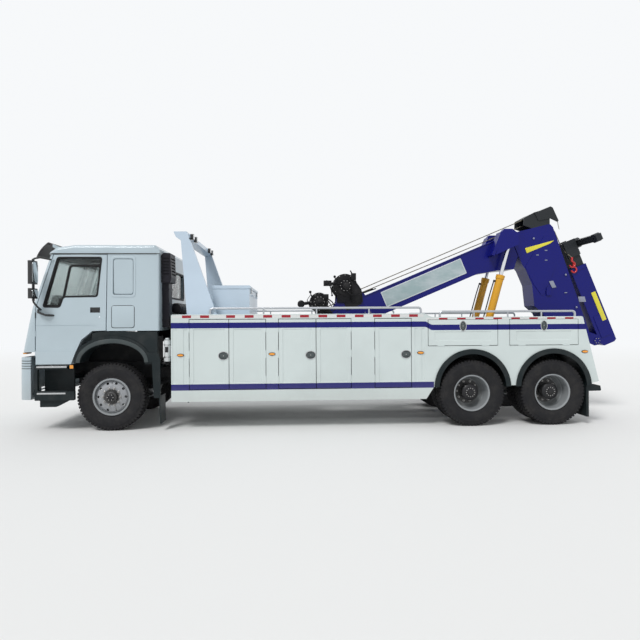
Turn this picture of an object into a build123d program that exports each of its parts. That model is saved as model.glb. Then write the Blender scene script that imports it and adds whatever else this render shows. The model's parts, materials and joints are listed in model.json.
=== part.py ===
"""Heavy three-axle recovery truck with a boom, winches and a folded underlift arm.

Frame: +X forward, +Y to the left, +Z up, millimetres. The ground is z = 0 and the origin is
below the middle of the truck's length. Stations along the truck are measured from the front
axle and are positive towards the tail, so a station is turned into x by the function at_x.
"""

import math
import os
from build123d import *

os.makedirs("parts", exist_ok=True)

# Whole vehicle
OVERALL_LENGTH = 10350
FRONT_OVERHANG = 1420
WHEELBASE = 5824
TANDEM = 1350
BODY_HALF = 1248
CAB_HALF = 1220
JOINT_GAP = 10          # gap round a door leaf or a hatch
RUN_GAP = 0.3           # radial clearance of a pin or a spindle
FRONT_AXLE_X = OVERALL_LENGTH / 2 - FRONT_OVERHANG

# Tyres and rims
TYRE_R = 540
TYRE_BEAD_R = 285
TYRE_HALF = 145
BEAD_HALF = 105
RIM_R = TYRE_BEAD_R - RUN_GAP
FLANGE_R = 297
RIM_WALL = 14
FRONT_TYRE_Y = 1020
TWIN_Y = 920
TWIN_OFFSET = 165
KING_Y = 780
KING_PIN_R = 28
KING_BOSS_R = 48
KING_BOSS_H = 50
SPRING_LEAF = 16
SPRING_RISE = 130
SPINDLE_R = 45

# Frame
RAIL_OUT = 425
RAIL_FLANGE = 80
RAIL_LOW = 770
RAIL_TOP = 1050
RAIL_WALL = 10
HORN = 12               # thickness of the horns that hold the cab's hinge pins
RAIL_FRONT = -1180
RAIL_REAR = 7380
BAR_FRONT = 7750        # front face of the under-run bar, where the rear flaps hang
BAR_LOW = 552

# Cab
CAB_WALL = 55
CAB_REAR = 775
CAB_FLOOR = 1597
CAB_SILL = 1075
CAB_BELT = 1690         # the cab's sides lean inwards above this
CAB_TOP = 2970
CAB_TOP_HALF = 1178
CAB_CORNER = 105        # round of the upright front corners
CAB_REAR_ROUND = 30
ROOF_LOW = 2820
ROOF_ROUND = 60
PANEL_LOW = (-1370, 1262)       # front face of the panel, lower edge
PANEL_TOP = (-1227, 1980)       # and where it meets the windscreen's plane
PANEL_SEAM = 1968               # its upper joint, a little below that bend
PANEL_THICK = 53
SCREEN_HEAD = (-951, 2820)      # upper end of the windscreen's plane
DOOR_THICK = 55
DOOR_FRONT = -1140
DOOR_REAR = -45
GLASS = 8
WINDOW_ROUND = 38
CREASE = 4              # depth of the pressed lines in the doors and the quarters
SCREEN_HALF = 1010
SCREEN_LOW = 2000
SCREEN_TOP = 2780
REAR_WINDOW = (620, 2150, 2620)     # half width, lower and upper edge
CAB_PIVOT = (-1280, 1120)
CAB_PIN_R = 20
CAB_ARM_Y = 440
CAB_ARM_THICK = 60
STEERING = (-780, 520, 2010)    # middle of the steering wheel: station, y, z
SEAT_Y = 520
MIRROR_Y = 1400

# Bumper and steps
BUMPER_LOW = 518
BUMPER_TOP = 1190
BUMPER_WALL = 45
BUMPER_ROUND = 150
HEADLAMP = (690, 1030, 640, 845)    # y from and to, z from and to
STEP_INNER = 860
GUARD_HALF = 1238
GUARD_SKIN = 42
GUARD_WALL = 26
GUARD_CENTRE = (45, 1096)
GUARD_OUTER = (600, 421)        # half width and height of the guard's outer ellipse
GUARD_INNER = (497, 302)

# Side bodies
BODY_FRONT = 968
RAIL_TUBE_R = 18
BODY_INNER = 620
BODY_LOW = 460
BODY_TOP = 1840
TAIL_WALL = 40
TAIL_LOW = (7938, 718)          # lower and upper end of the slanted tail edge
TAIL_HIGH = (7674, 1780)
BODY_REAR_TOP = TAIL_HIGH[1]
BODY_STEP = 5030
BODY_SKIN = 42
BODY_WALL = 25
BAY_FLOOR = 1270
LEAF_LOW = 655
LEAF_TOP = 1765
LEAF_THICK = 38
PRESS_DEPTH = 7         # depth of the pressed field of a leaf or a hatch
PRESS_MARGIN = 62
PRESS_SPAN = (752, 1612)
HATCH_PRESS = (1402, 1550)
LATCH_LONG = 78         # half sizes of the oval latch dishes
LATCH_SHORT = 62
LATCH_DEEP = 14
LATCH_Z = 1188
LATCH_SET = 82          # latch centre from the leaf's free edge
HATCH_LATCH_Z = 1640
LATCHED = ("locker_door_1", "locker_door_3", "locker_door_5")
HATCH_LOW = 1325
HATCH_TOP = 1742
ARCH_R = 600
ARCH_Z = 630
FLARE_OUT = 633
FLARE_IN = 552
FLARE_STAND = 22
WELL_FRONT = 2750
HINGE_R = 5.7
HINGE_SET = 4           # hinge pin ahead of the leaf's edge
HINGE_PROUD = 2         # hinge pin proud of the skin
HINGE_LEN = 120
HINGE_Z = (800, 1210, 1620)
CAB_HINGE_R = 7.7
CAB_HINGE_Z = (1250, 1560, 1850)

# Boom and arm
BOOM_PIVOT = (4250, 1800)
BOOM_ANGLE = 22.8
BOOM_HALF = 210
BOOM_LOW_T = -68
BOOM_TOP_T = 378
BOOM_TAIL_S = -100
BOOM_TIP_S = 3000
BOOM_WALL = 18
FLANGE_THICK = 16
FLANGE_OUT = 14
INNER_TAIL_S = 1150
INNER_WALL = 16
INNER_GAP = 8
LEG_HALF = 215
CYLINDER_Y = 372
CYL_FOOT = (6270, 1190)
CYL_EYE = (6840, 3225)
BARREL_R = 68
BARREL_LEN = 1400
ROD_R = 34
EYE_HALF = 28
ROD_LEN = 1500
FOLD_PIVOT = (8520, 1340)
ARM_ANGLE = 22.2
ARM_HALF = 160
ARM_LOW_K = -154
ARM_TOP_K = 1400
ARM_IN_M = 70
ARM_OUT_M = 383
ARM_WALL = 18
BAR_K = 1800
BAR_HALF = 750
BAR_PIN_R = 30
SOCKET_R = 25
SOCKET_INSET = 90
SLEEVE_R = 78
# Winches: place along the boom, height above its pivot line, flange radius
TAIL_PLATE = 30
WINCH_AXLE_R = 70
WINCHES = ((-155, 678, 220), (-702, 596, 170))

# Lockers on each side: name, station of the hinge edge, station of the free edge
LEAVES = (
    ("locker_door_1", 1257, 1875),
    ("locker_door_2", 2462, 1885),
    ("locker_door_3", 2674, 3267),
    ("locker_door_4", 3834, 3277),
    ("locker_door_5", 4226, 4814),
)
# Locker bays: door opening from and to, bay behind the skin from and to
BAYS = ((1257, 2462, 993, 2548), (2674, 3834, 2573, 4016), (4226, 4814, 4041, 4875))
# Hatches over the rear wheels: name, hatch from and to, bay behind the skin from and to
HATCHES = (("rear_hatch_1", 5100, 6240, 5050, 6335), ("rear_hatch_2", 6448, 7587, 6360, 7600))
SIDES = (("left", 1), ("right", -1))


def at_x(station):
    """x of a station measured rearwards from the front axle."""
    return FRONT_AXLE_X - station


def side_plane(y):
    """Upright lengthwise plane at y: its own x is +X and its own y is +Z."""
    return Plane.XZ.offset(-y)


def block(x_span, y_span, z_span, mode=Mode.ADD):
    """Box between two stations, two y and two z."""
    low_x, high_x = sorted((at_x(x_span[0]), at_x(x_span[1])))
    low_y, high_y = sorted(y_span)
    low_z, high_z = sorted(z_span)
    with Locations(((low_x + high_x) / 2, (low_y + high_y) / 2, (low_z + high_z) / 2)):
        Box(high_x - low_x, high_y - low_y, high_z - low_z, mode=mode)


def slab(points, y_span, mode=Mode.ADD):
    """Outline given as (station, z) points, extruded from one y to the other."""
    low_y, high_y = sorted(y_span)
    with BuildSketch(side_plane(high_y)) as outline:
        with BuildLine():
            Polyline(*[(at_x(s), z) for s, z in points], close=True)
        make_face()
    extrude(outline.sketch, amount=high_y - low_y, mode=mode)


def soft_slab(points, y_span, radius, mode=Mode.ADD, shrink=0.0):
    """Outline with rounded corners, drawn in by shrink, extruded from one y to the other."""
    low_y, high_y = sorted(y_span)
    with BuildSketch(side_plane(high_y)) as outline:
        with BuildLine():
            Polyline(*[(at_x(s), z) for s, z in points], close=True)
        make_face()
        fillet(outline.vertices(), radius)
        if shrink:
            offset(amount=-shrink, mode=Mode.REPLACE)
    extrude(outline.sketch, amount=high_y - low_y, mode=mode)


def soft_block(x_span, y_span, z_span, radius, mode=Mode.ADD):
    """Box whose edges along y are rounded."""
    (front, rear), (low, top) = x_span, z_span
    soft_slab(((front, low), (rear, low), (rear, top), (front, top)), y_span, radius, mode)


def cross_section(points, x_span, mode=Mode.ADD):
    """Outline given as (y, z) points, extruded from one station to another."""
    front, rear = sorted(x_span)
    with BuildSketch(Plane.YZ.offset(at_x(rear))) as outline:
        with BuildLine():
            Polyline(*points, close=True)
        make_face()
    extrude(outline.sketch, amount=rear - front, mode=mode)


def front_slot(y, z, width, height, depth_span, mode=Mode.SUBTRACT):
    """Round-ended slot seen from ahead, between two stations."""
    front, rear = sorted(depth_span)
    with BuildSketch(Plane.YZ.offset(at_x(rear))) as outline:
        with Locations((y, z)):
            SlotOverall(width, height)
    extrude(outline.sketch, amount=rear - front, mode=mode)


def pressed(x_span, z_span, y_face):
    """Field sunk into an outside face, with sloping sides."""
    front, rear = sorted(x_span)
    low, top = z_span
    with BuildSketch(side_plane(y_face)) as mouth:
        with Locations((at_x((front + rear) / 2), (low + top) / 2)):
            Rectangle(rear - front, top - low)
    extrude(mouth.sketch, amount=math.copysign(PRESS_DEPTH, y_face), taper=45, mode=Mode.SUBTRACT)


def oval(station, z, half_x, half_z, y_span, mode=Mode.ADD):
    """Oval disc along y."""
    low_y, high_y = sorted(y_span)
    with BuildSketch(side_plane(high_y)) as outline:
        with Locations((at_x(station), z)):
            Ellipse(half_x, half_z)
    extrude(outline.sketch, amount=high_y - low_y, mode=mode)


def latch(station, z, half_x, half_z, sign):
    """Oval dish on its own boss, with a paddle handle in it."""
    face = sign * BODY_HALF
    oval(station, z, half_x + 8, half_z + 8, (face, face - sign * (LATCH_DEEP + 4)))
    oval(station, z, half_x, half_z, (face + sign, face - sign * LATCH_DEEP), mode=Mode.SUBTRACT)
    paddle = (half_x * 0.72, half_z * 0.5) if half_x > half_z else (half_x * 0.5, half_z * 0.72)
    soft_block((station - paddle[0], station + paddle[0]), (face - sign * 3, face - sign * (LATCH_DEEP + 2)),
               (z - paddle[1], z + paddle[1]), 12)


def bent_tube(points, bend, radius, mode=Mode.ADD):
    """Round tube along (station, y, z) points with its corners bent."""
    with BuildLine() as path:
        FilletPolyline(*[(at_x(s), y, z) for s, y, z in points], radius=bend)
    with BuildSketch(Plane(origin=path.line @ 0, z_dir=path.line % 0)) as ring:
        Circle(radius)
    sweep(ring.sketch, path=path.line, mode=mode)


def cross_round(station, z, radius, y_span, mode=Mode.ADD):
    """Round bar along y at a station."""
    low_y, high_y = sorted(y_span)
    with BuildSketch(side_plane(high_y)) as circle:
        with Locations((at_x(station), z)):
            Circle(radius)
    extrude(circle.sketch, amount=high_y - low_y, mode=mode)


def along(origin, angle, s, t):
    """(station, z) of a point s along a line that rises rearwards at angle, and t above it."""
    turn = math.radians(angle)
    return (
        origin[0] + s * math.cos(turn) - t * math.sin(turn),
        origin[1] + s * math.sin(turn) + t * math.cos(turn),
    )


def boom_at(s, t):
    """(station, z) in the boom's own directions, from the boom's pivot."""
    return along(BOOM_PIVOT, BOOM_ANGLE, s, t)


def arm_at(k, m):
    """(station, z) on the folded arm: k up along the arm, m out towards the tail."""
    turn = math.radians(ARM_ANGLE)
    return (
        FOLD_PIVOT[0] - k * math.sin(turn) + m * math.cos(turn),
        FOLD_PIVOT[1] + k * math.cos(turn) + m * math.sin(turn),
    )


def arm_plane(k, m):
    """Plane at a point of the folded arm that faces out from the arm's back."""
    station, z = arm_at(k, m)
    turn = math.radians(ARM_ANGLE)
    return Plane(origin=(at_x(station), 0, z), x_dir=(0, 1, 0), z_dir=(-math.cos(turn), 0, math.sin(turn)))


def cab_face(z, inset=0):
    """(station, z) on the cab's front, moved back by an inset."""
    low, high = (PANEL_LOW, PANEL_TOP) if z < PANEL_TOP[1] else (PANEL_TOP, SCREEN_HEAD)
    return (low[0] + (high[0] - low[0]) * (z - low[1]) / (high[1] - low[1]) + inset, z)


def panel_back(z):
    """(station, z) on the back of the front panel."""
    return cab_face(z, PANEL_THICK)


def cab_half(z, inset=0):
    """Half width of the cab at a height, less an inset."""
    lean = (CAB_HALF - CAB_TOP_HALF) / (CAB_TOP - CAB_BELT)
    return CAB_HALF - inset - lean * max(0, z - CAB_BELT)


def cab_bar(inset, mode=Mode.ADD):
    """The cab's cross-section, drawn in by an inset, along the whole cab."""
    side = [(cab_half(z, inset), z) for z in (CAB_SILL - 100, CAB_BELT, CAB_TOP + 100)]
    cross_section(side + [(-y, z) for y, z in reversed(side)], (PANEL_LOW[0] - 50, CAB_REAR + 50), mode)


def cab_skin(outline, inner, outer):
    """Outline (station, z) between two insets from the cab's sides, on both sides."""
    slab(outline, (-CAB_HALF - 50, CAB_HALF + 50))
    if outer >= 0:
        cab_bar(outer, mode=Mode.INTERSECT)
    cab_bar(inner, mode=Mode.SUBTRACT)


def tail_at(z, inset=0):
    """(station, z) on the slanted tail edge of the side bodies, moved ahead by an inset."""
    share = (z - TAIL_LOW[1]) / (TAIL_HIGH[1] - TAIL_LOW[1])
    return (TAIL_LOW[0] + (TAIL_HIGH[0] - TAIL_LOW[0]) * share - inset, z)


def spun(points, station, y_hub, z_hub, outward, mode=Mode.ADD):
    """Outline of (radius, distance outwards) points, turned round a crosswise axle."""
    axle = Plane(origin=(at_x(station), y_hub, z_hub), x_dir=(1, 0, 0), z_dir=(0, 0, outward))
    with BuildSketch(axle) as section:
        with BuildLine():
            Polyline(*points, close=True)
        make_face()
    revolve(section.sketch, axis=Axis((at_x(station), y_hub, z_hub), (0, 1, 0)), mode=mode)


def tyre_section(station, y_hub):
    """One tyre: flat tread, rounded shoulders, bulging walls and straight beads."""
    tread_half = TYRE_HALF - 33
    axle = Plane(origin=(at_x(station), y_hub, TYRE_R), x_dir=(1, 0, 0), z_dir=(0, 0, 1))
    with BuildSketch(axle) as section:
        with BuildLine():
            Polyline((TYRE_BEAD_R + 16, -BEAD_HALF), (TYRE_BEAD_R, -BEAD_HALF),
                     (TYRE_BEAD_R, BEAD_HALF), (TYRE_BEAD_R + 16, BEAD_HALF))
            ThreePointArc((TYRE_BEAD_R + 16, BEAD_HALF), (TYRE_R - 130, TYRE_HALF),
                          (TYRE_R - 26, TYRE_HALF - 12))
            Polyline((TYRE_R - 26, TYRE_HALF - 12), (TYRE_R, tread_half),
                     (TYRE_R, -tread_half), (TYRE_R - 26, 12 - TYRE_HALF))
            ThreePointArc((TYRE_R - 26, 12 - TYRE_HALF), (TYRE_R - 130, -TYRE_HALF),
                          (TYRE_BEAD_R + 16, -BEAD_HALF))
        make_face()
    revolve(section.sketch, axis=Axis((at_x(station), y_hub, TYRE_R), (0, 1, 0)))


def keep(piece, name):
    """Label a finished piece and write it to its own file."""
    piece.label = name
    export_step(piece, f"parts/{name}.step")


# Front wheels: tyre, and rim with its hand holes and hub
for side, sign in SIDES:
    with BuildPart() as front_tyre:
        tyre_section(0, sign * FRONT_TYRE_Y)
    keep(front_tyre.part, f"front_tyre_{side}")

    with BuildPart() as front_rim:
        rim_outline = (
            (RIM_R, -107), (FLANGE_R, -107), (FLANGE_R, -125), (RIM_R - 14, -125), (RIM_R - 14, 20),
            (225, 78), (165, 96), (60, 96), (60, 112), (170, 112), (232, 92), (RIM_R - 14, 62),
            (RIM_R - 14, 125), (FLANGE_R, 125), (FLANGE_R, 107), (RIM_R, 107),
        )
        spun(rim_outline, 0, sign * FRONT_TYRE_Y, TYRE_R, sign)
        spun(((SPINDLE_R + RUN_GAP, -60), (110, -60), (110, 96), (95, 112), (88, 150), (70, 165),
              (0, 165), (0, 130), (SPINDLE_R + RUN_GAP, 130)),
             0, sign * FRONT_TYRE_Y, TYRE_R, sign)
        spun(((112, -60), (200, -60), (205, -40), (205, 55), (108, 96), (108, -60)),
             0, sign * FRONT_TYRE_Y, TYRE_R, sign)
        with BuildSketch(side_plane(sign * FRONT_TYRE_Y + 200)) as holes:
            with Locations((at_x(0), TYRE_R)):
                with PolarLocations(218, 10):
                    Circle(21)
        hole_reach = 200 - 62 if sign > 0 else 330
        extrude(holes.sketch, amount=hole_reach, mode=Mode.SUBTRACT)
    keep(front_rim.part, f"front_rim_{side}")

# Rear twin wheels on the two axles
for row, station in (("mid", WHEELBASE), ("rear", WHEELBASE + TANDEM)):
    for side, sign in SIDES:
        with BuildPart() as twin_tyres:
            for shift in (-TWIN_OFFSET, TWIN_OFFSET):
                tyre_section(station, sign * (TWIN_Y + shift))
        keep(twin_tyres.part, f"{row}_tyres_{side}")

        with BuildPart() as twin_rims:
            dish = (
                (100, 0), (228, 0), (262, 34), (262, 40), (FLANGE_R, 40), (FLANGE_R, 58),
                (RIM_R, 58), (RIM_R, 272), (FLANGE_R, 272), (FLANGE_R, 290), (283, 290),
                (272, 276), (272, 70), (222, RIM_WALL), (100, RIM_WALL),
            )
            for outward in (sign, -sign):
                spun(dish, station, sign * TWIN_Y, TYRE_R, outward)
            spun(((SPINDLE_R + RUN_GAP, -265), (195, -265), (205, -250), (205, -30), (120, 0),
                  (120, 60), (95, 150), (80, 215), (0, 225), (0, 150), (SPINDLE_R + RUN_GAP, 150)),
                 station, sign * TWIN_Y, TYRE_R, sign)
        keep(twin_rims.part, f"{row}_rims_{side}")

# Frame: two channel rails with their cross members
with BuildPart() as frame_rails:
    for side, sign in SIDES:
        block((RAIL_FRONT, RAIL_REAR), (sign * RAIL_OUT, sign * (RAIL_OUT - RAIL_FLANGE)),
              (RAIL_LOW, RAIL_TOP))
        block((RAIL_FRONT - 1, RAIL_REAR + 1),
              (sign * (RAIL_OUT - RAIL_WALL), sign * (RAIL_OUT - RAIL_FLANGE - 1)),
              (RAIL_LOW + RAIL_WALL, RAIL_TOP - RAIL_WALL), mode=Mode.SUBTRACT)
    rail_in = RAIL_OUT - RAIL_WALL
    for member in (-1100, 1200, 1900, 2900, 3700, 4700, 5200, 6500, RAIL_REAR - 60):
        block((member - 40, member + 40), (-rail_in, rail_in), (RAIL_LOW + 60, RAIL_TOP - 60))
    # Horns that hold the cab's hinge pins
    for sign in (1, -1):
        slab(((-1000, 900), (-1000, RAIL_TOP), (-1240, 1160), (-1310, 1160), (-1310, 1085), (-1178, 900)),
             (sign * (RAIL_OUT - HORN), sign * RAIL_OUT))
        cross_round(*CAB_PIVOT, CAB_PIN_R, (sign * (RAIL_OUT - HORN), sign * (CAB_ARM_Y + CAB_ARM_THICK)))
    # Bearers that carry the side bodies
    for bearer in (1150, 2560, 4020, 5130, 6500):
        block((bearer - 30, bearer + 30), (RAIL_OUT, BODY_INNER), (RAIL_TOP - 90, RAIL_TOP - 20))
        block((bearer - 30, bearer + 30), (-RAIL_OUT, -BODY_INNER), (RAIL_TOP - 90, RAIL_TOP - 20))
keep(frame_rails.part, "frame_rails")

# Engine with its gearbox, under the cab
with BuildPart() as engine_block:
    block((-750, 450), (-330, 330), (640, 1480))
    block((450, 1000), (-230, 230), (640, 1030))
    for sign in (1, -1):
        for station in (-500, 200):
            block((station - 40, station + 40), (sign * 330, sign * (RAIL_OUT - RAIL_WALL)), (800, 880))
keep(engine_block.part, "engine_block")

# Axles, springs and shafts
with BuildPart() as running_gear:
    # Front beam with its pin bosses, and the leaf springs it hangs from
    block((-45, 45), (-KING_Y + 80, KING_Y - 80), (TYRE_R - 120, TYRE_R - 30))
    for side, sign in SIDES:
        block((-45, 45), (sign * (KING_Y - 120), sign * (KING_Y - 60)), (TYRE_R - 120, TYRE_R + 45))
        block((-40, 40), (sign * (KING_Y - 70), sign * KING_Y), (TYRE_R - 45, TYRE_R + 45))
        with Locations((at_x(0), sign * KING_Y, TYRE_R)):
            Cylinder(KING_BOSS_R, 2 * KING_BOSS_H)
            Cylinder(KING_PIN_R, 220)
        # Leaf spring: a long top leaf on its hangers, and shorter leaves stacked under it
        for leaf, half in enumerate((790, 700, 590, 480, 370, 260)):
            z = TYRE_R + 62 - leaf * SPRING_LEAF
            rise = SPRING_RISE * (half / 790) ** 2
            slab(((-half, z + rise), (-half / 2, z + rise / 4), (0, z), (half / 2, z + rise / 4), (half, z + rise),
                  (half, z + rise - SPRING_LEAF - 1), (half / 2, z + rise / 4 - SPRING_LEAF - 1),
                  (0, z - SPRING_LEAF - 1), (-half / 2, z + rise / 4 - SPRING_LEAF - 1),
                  (-half, z + rise - SPRING_LEAF - 1)), (sign * 345, sign * 425))
        for station in (-760, 760):
            block((station - 35, station + 35), (sign * 345, sign * 425), (TYRE_R + SPRING_RISE + 20, RAIL_LOW))
        block((-110, 110), (sign * 340, sign * 430), (TYRE_R - 60, TYRE_R + 75))
    # Two driven axles with their heads, the trunnion springs between them and the shafts
    for station in (WHEELBASE, WHEELBASE + TANDEM):
        cross_round(station, TYRE_R, 75, (-640, 640))
        for sign in (1, -1):
            cross_round(station, TYRE_R, SPINDLE_R, (sign * 630, sign * 1040))
            block((station - 110, station + 110), (sign * 330, sign * 440), (TYRE_R, TYRE_R + 110))
        with Locations((at_x(station), 0, TYRE_R + 20)):
            Sphere(235)
    mid = WHEELBASE + TANDEM / 2
    for sign in (1, -1):
        bogie = ((mid - TANDEM / 2 - 90, TYRE_R + 100), (mid - TANDEM / 2 + 90, TYRE_R + 100),
                 (mid, TYRE_R + 60), (mid + TANDEM / 2 - 90, TYRE_R + 100),
                 (mid + TANDEM / 2 + 90, TYRE_R + 100), (mid + TANDEM / 2 + 90, TYRE_R + 140),
                 (mid, RAIL_LOW - 20), (mid - TANDEM / 2 - 90, TYRE_R + 140))
        slab(bogie, (sign * 340, sign * 430))
        for drop, half in ((35, 430), (52, 300)):
            slab(((mid - half, TYRE_R + 100 - drop), (mid, TYRE_R + 62 - drop), (mid + half, TYRE_R + 100 - drop),
                  (mid + half, TYRE_R + 124 - drop), (mid, TYRE_R + 100 - drop), (mid - half, TYRE_R + 124 - drop)),
                 (sign * 345, sign * 425))
        slab(((mid - 130, RAIL_LOW), (mid + 130, RAIL_LOW), (mid + 60, TYRE_R), (mid - 60, TYRE_R)),
             (sign * 345, sign * 425))
    shaft_z = TYRE_R + 130
    for start, stop in ((1000, WHEELBASE - 200), (WHEELBASE + 200, WHEELBASE + TANDEM - 200)):
        with BuildSketch(Plane.YZ.offset(at_x(stop))) as tube:
            with Locations((0, shaft_z)):
                Circle(60)
        extrude(tube.sketch, amount=stop - start)
keep(running_gear.part, "running_gear")

# Steering knuckles: a fork round the beam's end and the spindle of the wheel
for side, sign in SIDES:
    with BuildPart() as knuckle:
        for low in (-112, KING_BOSS_H + 2):
            with Locations((at_x(0), sign * KING_Y, TYRE_R + low + 30)):
                Cylinder(KING_BOSS_R, 60)
            block((-42, 42), (sign * KING_Y, sign * (KING_Y + 70)), (TYRE_R + low, TYRE_R + low + 60))
        block((-42, 42), (sign * (KING_Y + 56), sign * (KING_Y + 78)), (TYRE_R - 112, TYRE_R + 112))
        cross_round(0, TYRE_R, SPINDLE_R, (sign * (KING_Y + 70), sign * (FRONT_TYRE_Y + 100)))
        with Locations((at_x(0), sign * KING_Y, TYRE_R)):
            Cylinder(KING_PIN_R + RUN_GAP, 260, mode=Mode.SUBTRACT)
    keep(knuckle.part, f"knuckle_{side}")

def bumper_plan(inset, low, top, mode=Mode.ADD):
    """Plan of the bumper drawn in by an inset, between two heights."""
    front, half = at_x(-FRONT_OVERHANG) - inset, CAB_HALF - inset
    rear = at_x(-1222) - (20 if inset else 0)
    with BuildSketch(Plane.XY.offset(low)) as plan:
        with BuildLine():
            Polyline((rear, -half), (front, -half), (front, half), (rear, half), close=True)
        make_face()
        fillet(plan.vertices().group_by(Axis.X)[-1], BUMPER_ROUND - inset)
    extrude(plan.sketch, amount=top - low, mode=mode)


# Bumper: rounded in plan, with pockets for the headlamps and a low air inlet
with BuildPart() as front_bumper:
    bumper_plan(0, BUMPER_LOW, BUMPER_TOP)
    bumper_side = ((-1222, BUMPER_LOW), (-1396, BUMPER_LOW), (-FRONT_OVERHANG, 610),
                   (-FRONT_OVERHANG, 915), (-1397, 950), (-1385, BUMPER_TOP), (-1222, BUMPER_TOP))
    slab(bumper_side, (-CAB_HALF - 10, CAB_HALF + 10), mode=Mode.INTERSECT)
    bumper_plan(BUMPER_WALL, BUMPER_LOW + BUMPER_WALL, BUMPER_TOP + 1, mode=Mode.SUBTRACT)
    lamp_in, lamp_out, lamp_low, lamp_top = HEADLAMP
    for sign in (1, -1):
        block((-FRONT_OVERHANG - 1, -FRONT_OVERHANG + 40), (sign * lamp_in, sign * lamp_out),
              (lamp_low, lamp_top), mode=Mode.SUBTRACT)
        # Brackets from the rail ends to the skin
        block((RAIL_FRONT, -FRONT_OVERHANG + 50), (sign * 345, sign * (RAIL_OUT - HORN)), (790, 1000))
        # Ridges across the corner beside the panel's foot
        for z in (1010, 1050, 1090, 1130):
            front_slot(sign * 860, z, 520, 14, (-FRONT_OVERHANG - 1, -1383))
    for z in (575, 625):
        front_slot(0, z, 1100, 30, (-FRONT_OVERHANG - 1, -FRONT_OVERHANG + BUMPER_WALL + 30))
keep(front_bumper.part, "front_bumper")

# Lamps: headlamps, side markers, turn lamps by the steps and tail lamps
with BuildPart() as lamps:
    for sign in (1, -1):
        block((-FRONT_OVERHANG + 2, -FRONT_OVERHANG + 40), (sign * (lamp_in + RUN_GAP), sign * (lamp_out - RUN_GAP)),
              (lamp_low + RUN_GAP, lamp_top - RUN_GAP))
        for station, z in ((1116, 1203), (2565, 1211), (4967, 1211), (7700, 1207)):
            oval(station, z, 47, 17, (sign * BODY_HALF, sign * (BODY_HALF + 14)))
        tail_lamp = [tail_at(z, out) for z, out in ((820, 0), (1240, 0), (1240, -22), (820, -22))]
        slab(tail_lamp, (sign * 1040, sign * 1190))
keep(lamps.part, "lamps")

# Cab steps, front mudguards with their flaps, flares over the rear wheels, and the under-run bar
with BuildPart() as dark_guards:
    for sign in (1, -1):
        outer, skin = sign * (CAB_HALF + 18), sign * (CAB_HALF - 42)
        inner = sign * STEP_INNER
        # Step side with its two openings, two treads with raised edges, and the back wall
        soft_slab(((-1156, 507), (-545, 507), (-545, 800), (-585, 1046), (-1156, 1046)), (skin, outer), 12)
        soft_slab(((-1112, 655), (-612, 655), (-640, 1000), (-1112, 1000)),
                  (sign * (CAB_HALF - 60), sign * (CAB_HALF + 40)), 24, mode=Mode.SUBTRACT)
        block((-1156, -680), (inner, skin), (507, 600))
        block((-1112, -690), (skin, outer), (600, 618))
        block((-1156, -680), (inner, skin), (1000, 1046))
        block((-1156, -680), (inner, sign * (STEP_INNER + 40)), (507, 1046))
        block((-1150, -1100), (sign * RAIL_OUT, sign * (STEP_INNER + 20)), (800, 860))
        block((-760, -700), (sign * RAIL_OUT, sign * (STEP_INNER + 20)), (800, 860))
        soft_slab(((-1090, 400), (-840, 400), (-700, 470), (-620, 520), (-1090, 520)),
                  (sign * 1100, sign * (CAB_HALF - 20)), 10)
        # Mudguard: flared band outside, liner inside, the wall behind the wheel and the flap
        station, low = GUARD_CENTRE
        lip = sign * (GUARD_HALF - GUARD_SKIN)
        oval(station, low, *GUARD_OUTER, (lip, sign * GUARD_HALF))
        slab(((-271, 1360), (-271, 1560), (-160, 1583), (742, 1583), (742, 1250), (500, 1250)),
             (sign * 1140, sign * (GUARD_HALF - 20)))
        oval(station, low, GUARD_INNER[0] + GUARD_WALL, GUARD_INNER[1] + GUARD_WALL,
             (sign * 880, sign * (GUARD_HALF - 20)))
        oval(station, low, *GUARD_INNER, (sign * 870, sign * (GUARD_HALF + 20)), mode=Mode.SUBTRACT)
        block((station - 700, station + 700), (sign * 870, sign * (GUARD_HALF + 20)), (low - 450, low),
              mode=Mode.SUBTRACT)
        soft_slab(((542, 1250), (755, 1250), (792, 1140), (792, 528), (690, 528), (664, 1096), (542, 1096)),
                  (lip, sign * GUARD_HALF), 8)
        slab(((542, 1060), (664, 1060), (690, 528), (690 + GUARD_WALL, 528), (692, 1105), (542, 1105)),
             (sign * 880, lip))
        slab(((768, 534), (788, 534), (802, 115), (784, 115)), (sign * 900, sign * 1225))
        slab(((690, 560), (792, 560), (792, 534), (690, 534)), (sign * 900, lip))
        block((660, 760), (sign * RAIL_OUT, sign * 885), (980, 1040))
        # Half of the under-run bar with the flap behind the rear wheel, and its bracket on the rail
        soft_slab(((BAR_FRONT, BAR_LOW), (BAR_FRONT + 240, BAR_LOW + 4), (BAR_FRONT + 225, BAR_LOW + 88),
                   (BAR_FRONT + 110, BAR_LOW + 116), (BAR_FRONT, BAR_LOW + 116)), (sign * 300, sign * 1225), 18)
        block((BAR_FRONT - 12, BAR_FRONT + 30), (sign * 650, sign * 1222), (130, BAR_LOW + 90))
        slab(((RAIL_REAR - 120, RAIL_LOW), (RAIL_REAR, RAIL_LOW + 120), (BAR_FRONT - RUN_GAP, BAR_LOW + 90),
              (BAR_FRONT - RUN_GAP, BAR_LOW + 20)), (sign * (RAIL_OUT + RUN_GAP), sign * (RAIL_OUT + 16)))
        # Flares over the two rear wheels
        for station in (WHEELBASE, WHEELBASE + TANDEM):
            cross_round(station, ARCH_Z, FLARE_OUT, (sign * BODY_HALF, sign * (BODY_HALF + FLARE_STAND)))
            cross_round(station, ARCH_Z, FLARE_IN, (sign * (BODY_HALF - 5), sign * (BODY_HALF + 30)),
                        mode=Mode.SUBTRACT)
            block((station - 700, station + 700), (sign * BODY_HALF, sign * (BODY_HALF + 30)),
                  (-100, 650), mode=Mode.SUBTRACT)
keep(dark_guards.part, "dark_guards")

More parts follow.
